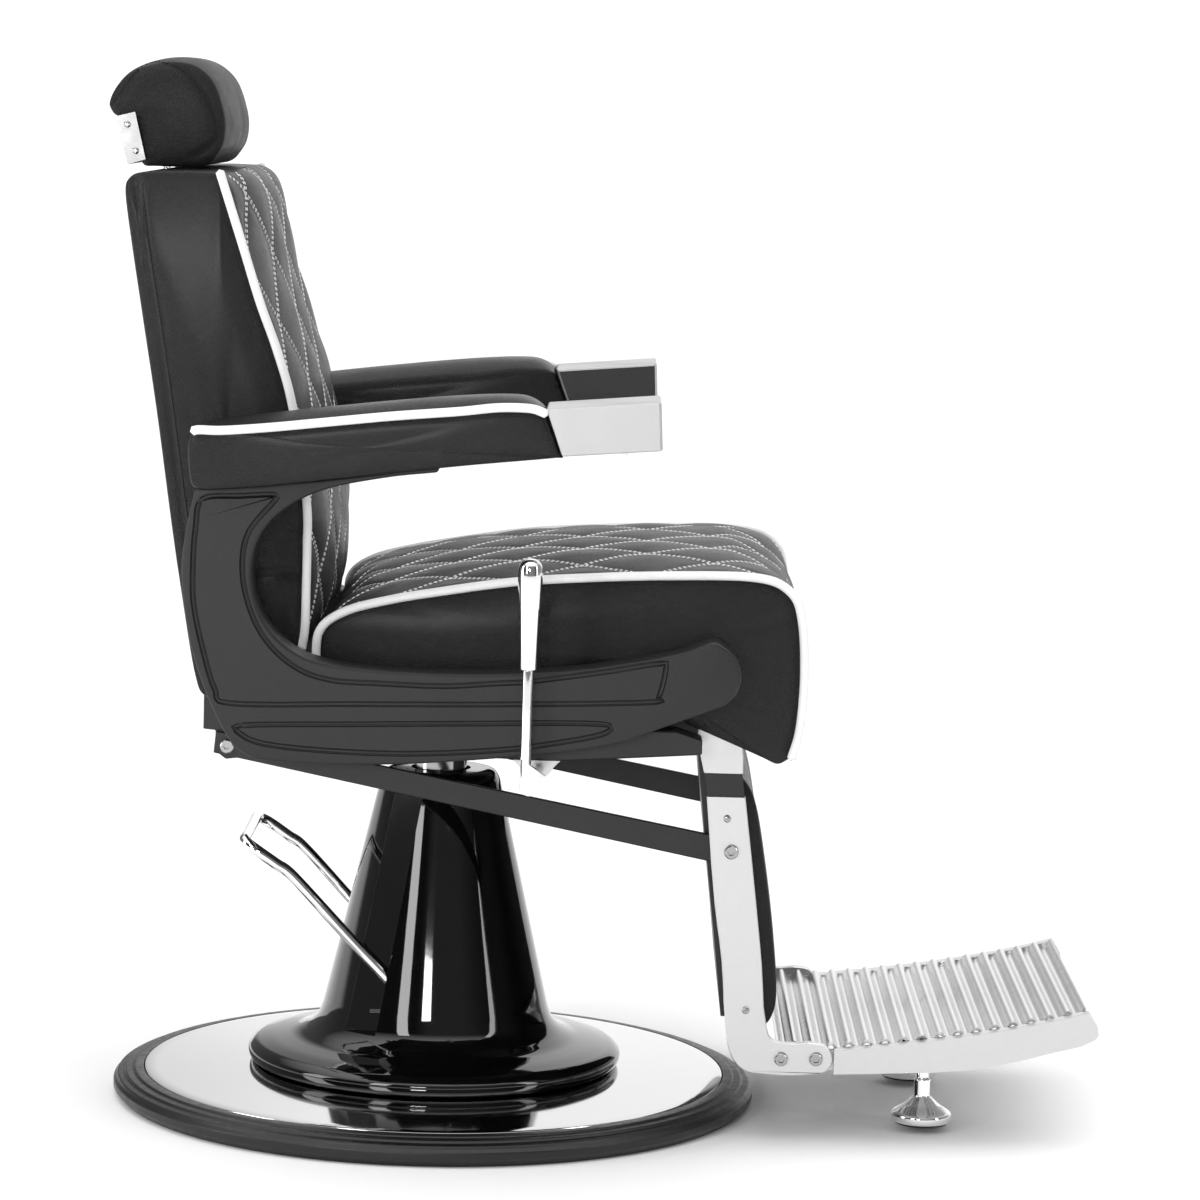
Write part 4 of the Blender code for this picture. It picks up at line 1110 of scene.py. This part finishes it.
def frame_outline():
    """The frame's silhouette. It is smooth between the points marked as corners."""
    knots = FRAME_BACK + FRAME_HEEL + FRAME_BELLY + arc((0.264, 0.482), 0.0325, -80, 85, 8) + FRAME_TOP
    knots += FRAME_HOLLOW + FRAME_UNDER_ARM
    corners = [k for k, knot in enumerate(knots) if len(knot) > 2]
    outline = []
    for first, second in zip(corners, corners[1:] + [corners[0] + len(knots)]):
        run = [knots[k % len(knots)][:2] for k in range(first, second + 1)]
        outline += list(catmull(run, 0.004))[:-1] if len(run) > 2 else [np.array(run[0])]
    return outline


def slab(name, outline, y_low, y_high):
    """A flat-sided prism of an XZ outline."""
    shape = bmesh.new()
    low = [shape.verts.new((x, y_low, z)) for x, z in outline]
    face = shape.faces.new(low)
    made = bmesh.ops.extrude_face_region(shape, geom=[face])
    moved = [v for v in made["geom"] if isinstance(v, bmesh.types.BMVert)]
    bmesh.ops.translate(shape, verts=moved, vec=(0, y_high - y_low, 0))
    bmesh.ops.recalc_face_normals(shape, faces=shape.faces)
    mesh = bpy.data.meshes.new(name)
    shape.to_mesh(mesh)
    shape.free()
    return mesh


def in_triangles(mesh):
    with edited(mesh) as shape:
        many = [face for face in shape.faces if len(face.verts) > 4]
        bmesh.ops.triangulate(shape, faces=many, ngon_method="EAR_CLIP")
    return mesh


def make_side_frames():
    outline = frame_outline()
    for tag, side in SIDES.items():
        low, high = sorted((side * 0.262, side * 0.31))
        form, name = slab("frame", outline, low, high), "frame_moulding_" + tag
        obj = add(name, form, FRAME_BLACK, "seat", ["side_frame_" + tag], smooth=0)
        modified(obj, "BEVEL", width=0.0035, segments=4, limit_method="ANGLE", angle_limit=math.radians(50))
        cutters = []
        for loop in (BIG_GROOVE, LOW_GROOVE):
            path = catmull(loop, 0.005, closed=True)
            path = np.stack([path[:, 0], np.full(len(path), side * 0.3099), path[:, 1]], axis=1)
            cutters.append(facing_out(mesh_from("groove", *sweep(path, GROOVE_R, 10, closed=True))))
        obj.data = in_triangles(boolean(in_triangles(obj.data), cutters, solver="MANIFOLD"))
        obj.data.materials.clear()
        obj.data.materials.append(FRAME_BLACK)
        obj.data.shade_smooth()
        obj.data.set_sharp_from_angle(angle=math.radians(35))


def make_camera():
    """The camera, square to the chair's right side and a little above the seat."""
    pitch, yaw, roll = (math.radians(v) for v in (CAMERA_PITCH, CAMERA_YAW, CAMERA_ROLL))
    forward = Vector((math.sin(yaw) * math.cos(pitch), math.cos(yaw) * math.cos(pitch), -math.sin(pitch)))
    level = Vector((math.cos(yaw), -math.sin(yaw), 0))
    upright = level.cross(forward)
    right = level * math.cos(roll) + upright * math.sin(roll)
    up = right.cross(forward)
    data = bpy.data.cameras.new("camera")
    data.lens = CAMERA_LENS
    data.sensor_width = 36.0
    data.clip_end = 60.0
    camera = bpy.data.objects.new("camera", data)
    bpy.context.scene.collection.objects.link(camera)
    turn = Matrix((right, up, -forward)).transposed().to_4x4()
    camera.matrix_world = Matrix.Translation(CAMERA_PLACE) @ turn
    bpy.context.scene.camera = camera


def area_light(name, place, target, size, power):
    data = bpy.data.lights.new(name, "AREA")
    data.shape = "RECTANGLE"
    data.size, data.size_y = size
    data.energy = power
    light = bpy.data.objects.new(name, data)
    bpy.context.scene.collection.objects.link(light)
    light.location = place
    way = Vector(target) - Vector(place)
    light.rotation_euler = way.to_track_quat("-Z", "Y").to_euler()


def level(tree, value, low, high, at_low, at_high):
    """A value that runs between two levels as its input runs from low to high."""
    made = node(tree, "MapRange")
    for socket, number in zip(("From Min", "From Max", "To Min", "To Max"), (low, high, at_low, at_high)):
        made.inputs[socket].default_value = number
    tree.links.new(value, made.inputs["Value"])
    return made.outputs["Result"]


def mixed(tree, operation, first, second):
    made = node(tree, "Math", operation=operation)
    tree.links.new(first, made.inputs[0])
    tree.links.new(second, made.inputs[1])
    return made.outputs["Value"]


def make_studio():
    """A pale floor, a sky that is white behind and above and dimmer in front, and soft boxes."""
    mesh = mesh_from("floor", [(-30, -30, 0), (30, -30, 0), (30, 30, 0), (-30, 30, 0)], [(0, 1, 2, 3)])
    mesh.transform(Matrix.Translation((0, 0, -0.0002)))
    add("studio_floor", mesh, matte_white("studio_floor"), smooth=0)
    world = bpy.data.worlds.new("studio")
    bpy.context.scene.world = world
    world.use_nodes = True
    tree = world.node_tree
    coords = node(tree, "TexCoord")
    split = node(tree, "SeparateXYZ")
    tree.links.new(coords.outputs["Generated"], split.inputs["Vector"])
    glow = None
    for axis, *spread in (("Y", -0.45, 0.15, 0.18, 1.0), ("X", 0.5, 0.85, 1.0, 0.25)):
        part = level(tree, split.outputs[axis], *spread)
        glow = part if glow is None else mixed(tree, "MULTIPLY", glow, part)
    left = level(tree, split.outputs["X"], -0.3, -0.07, 0.15, 1.0)
    left = mixed(tree, "MAXIMUM", left, level(tree, split.outputs["Z"], 0.03, 0.06, 1.0, 0.0))
    glow = mixed(tree, "MULTIPLY", glow, left)
    glow = mixed(tree, "MAXIMUM", glow, level(tree, split.outputs["Z"], 0.5, 0.9, 0.0, 1.75))
    background = tree.nodes["Background"]
    tree.links.new(glow, background.inputs["Color"])
    background.inputs["Strength"].default_value = 1.2
    area_light("key", (-2.2, -3.6, 1.9), (0.0, 0, 0.55), (0.85, 2.4), 50)
    area_light("fill", (3.2, -1.6, 1.6), (0.1, 0, 0.5), (0.5, 2.4), 20)
    area_light("front", (-0.55, -4.5, 1.15), (-0.1, 0, 0.75), (0.7, 0.35), 26)
    area_light("left", (-3.4, -0.9, 1.3), (0.0, 0, 0.6), (1.0, 2.4), 36)
    bpy.context.scene.view_settings.view_transform = "Standard"


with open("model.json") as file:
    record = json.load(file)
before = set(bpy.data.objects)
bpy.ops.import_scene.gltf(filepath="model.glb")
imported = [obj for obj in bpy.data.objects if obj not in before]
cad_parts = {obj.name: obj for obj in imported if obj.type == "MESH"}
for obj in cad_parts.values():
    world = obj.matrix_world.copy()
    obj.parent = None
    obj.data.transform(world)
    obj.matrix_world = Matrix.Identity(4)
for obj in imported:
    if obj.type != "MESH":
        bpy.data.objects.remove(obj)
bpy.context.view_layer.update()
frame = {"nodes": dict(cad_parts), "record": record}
make_camera()
make_studio()
BLACK_LEATHER = leather("black_leather", grey(0.0045), grey(0.008), 0.4, 0.13)
HEAD_LEATHER = leather("headrest_leather", grey(0.0045), grey(0.008), 0.46, 0.02)
WHITE = white_vinyl("white_piping", 0.86)
THREAD = white_vinyl("white_thread", 0.95)
DARK_THREAD = textured_black("dark_thread", 0.004, 0.7, 900, 0.2)
CHROME = chrome("chrome", 0.86, 0.035)
BOLT = chrome("zinc_plated", 0.36, 0.16)
RAM_STEEL = chrome("ram_steel", 0.46, 0.1)
DISC = chrome("polished_disc", 0.66, 0.05)
ALUMINIUM = brushed("brushed_aluminium", 0.65, 0.36, (40, 900, 40))
PLATE = brushed("brushed_plate", 0.52, 0.44, (40, 900, 40))
TREAD = brushed("polished_tread", 0.68, 0.2, (60, 900, 60))
PIANO = gloss_black("piano_black")
FRAME_BLACK = textured_black("frame_black", 0.0042, 0.5, 900.0, 0.25)
STEEL_BLACK = textured_black("powder_black", 0.006, 0.42, 500.0, 0.15)
RUBBER = textured_black("rubber", 0.0036, 0.4, 120.0, 0.08)
BY_SLOT = {
    "leather": BLACK_LEATHER,
    "chrome": CHROME,
    "aluminium": ALUMINIUM,
    "piano_black": PIANO,
    "frame_black": FRAME_BLACK,
    "steel_black": STEEL_BLACK,
    "rubber": RUBBER,
}
for entry in frame["record"]["subparts"]:
    shown = frame["nodes"][entry["node"]]
    shown.data.materials.clear()
    plate = entry["node"].startswith(("headrest_bracket", "arm_front"))
    shown.data.materials.append(PLATE if plate else BY_SLOT[entry["material_slot"]])
make_base()
make_column()
make_pedal()
make_feet()
make_tread()
make_lever()
make_bolts()
make_side_frames()
make_arm_pads()
make_calf_pad()
make_headrest()
make_seat()
make_back()
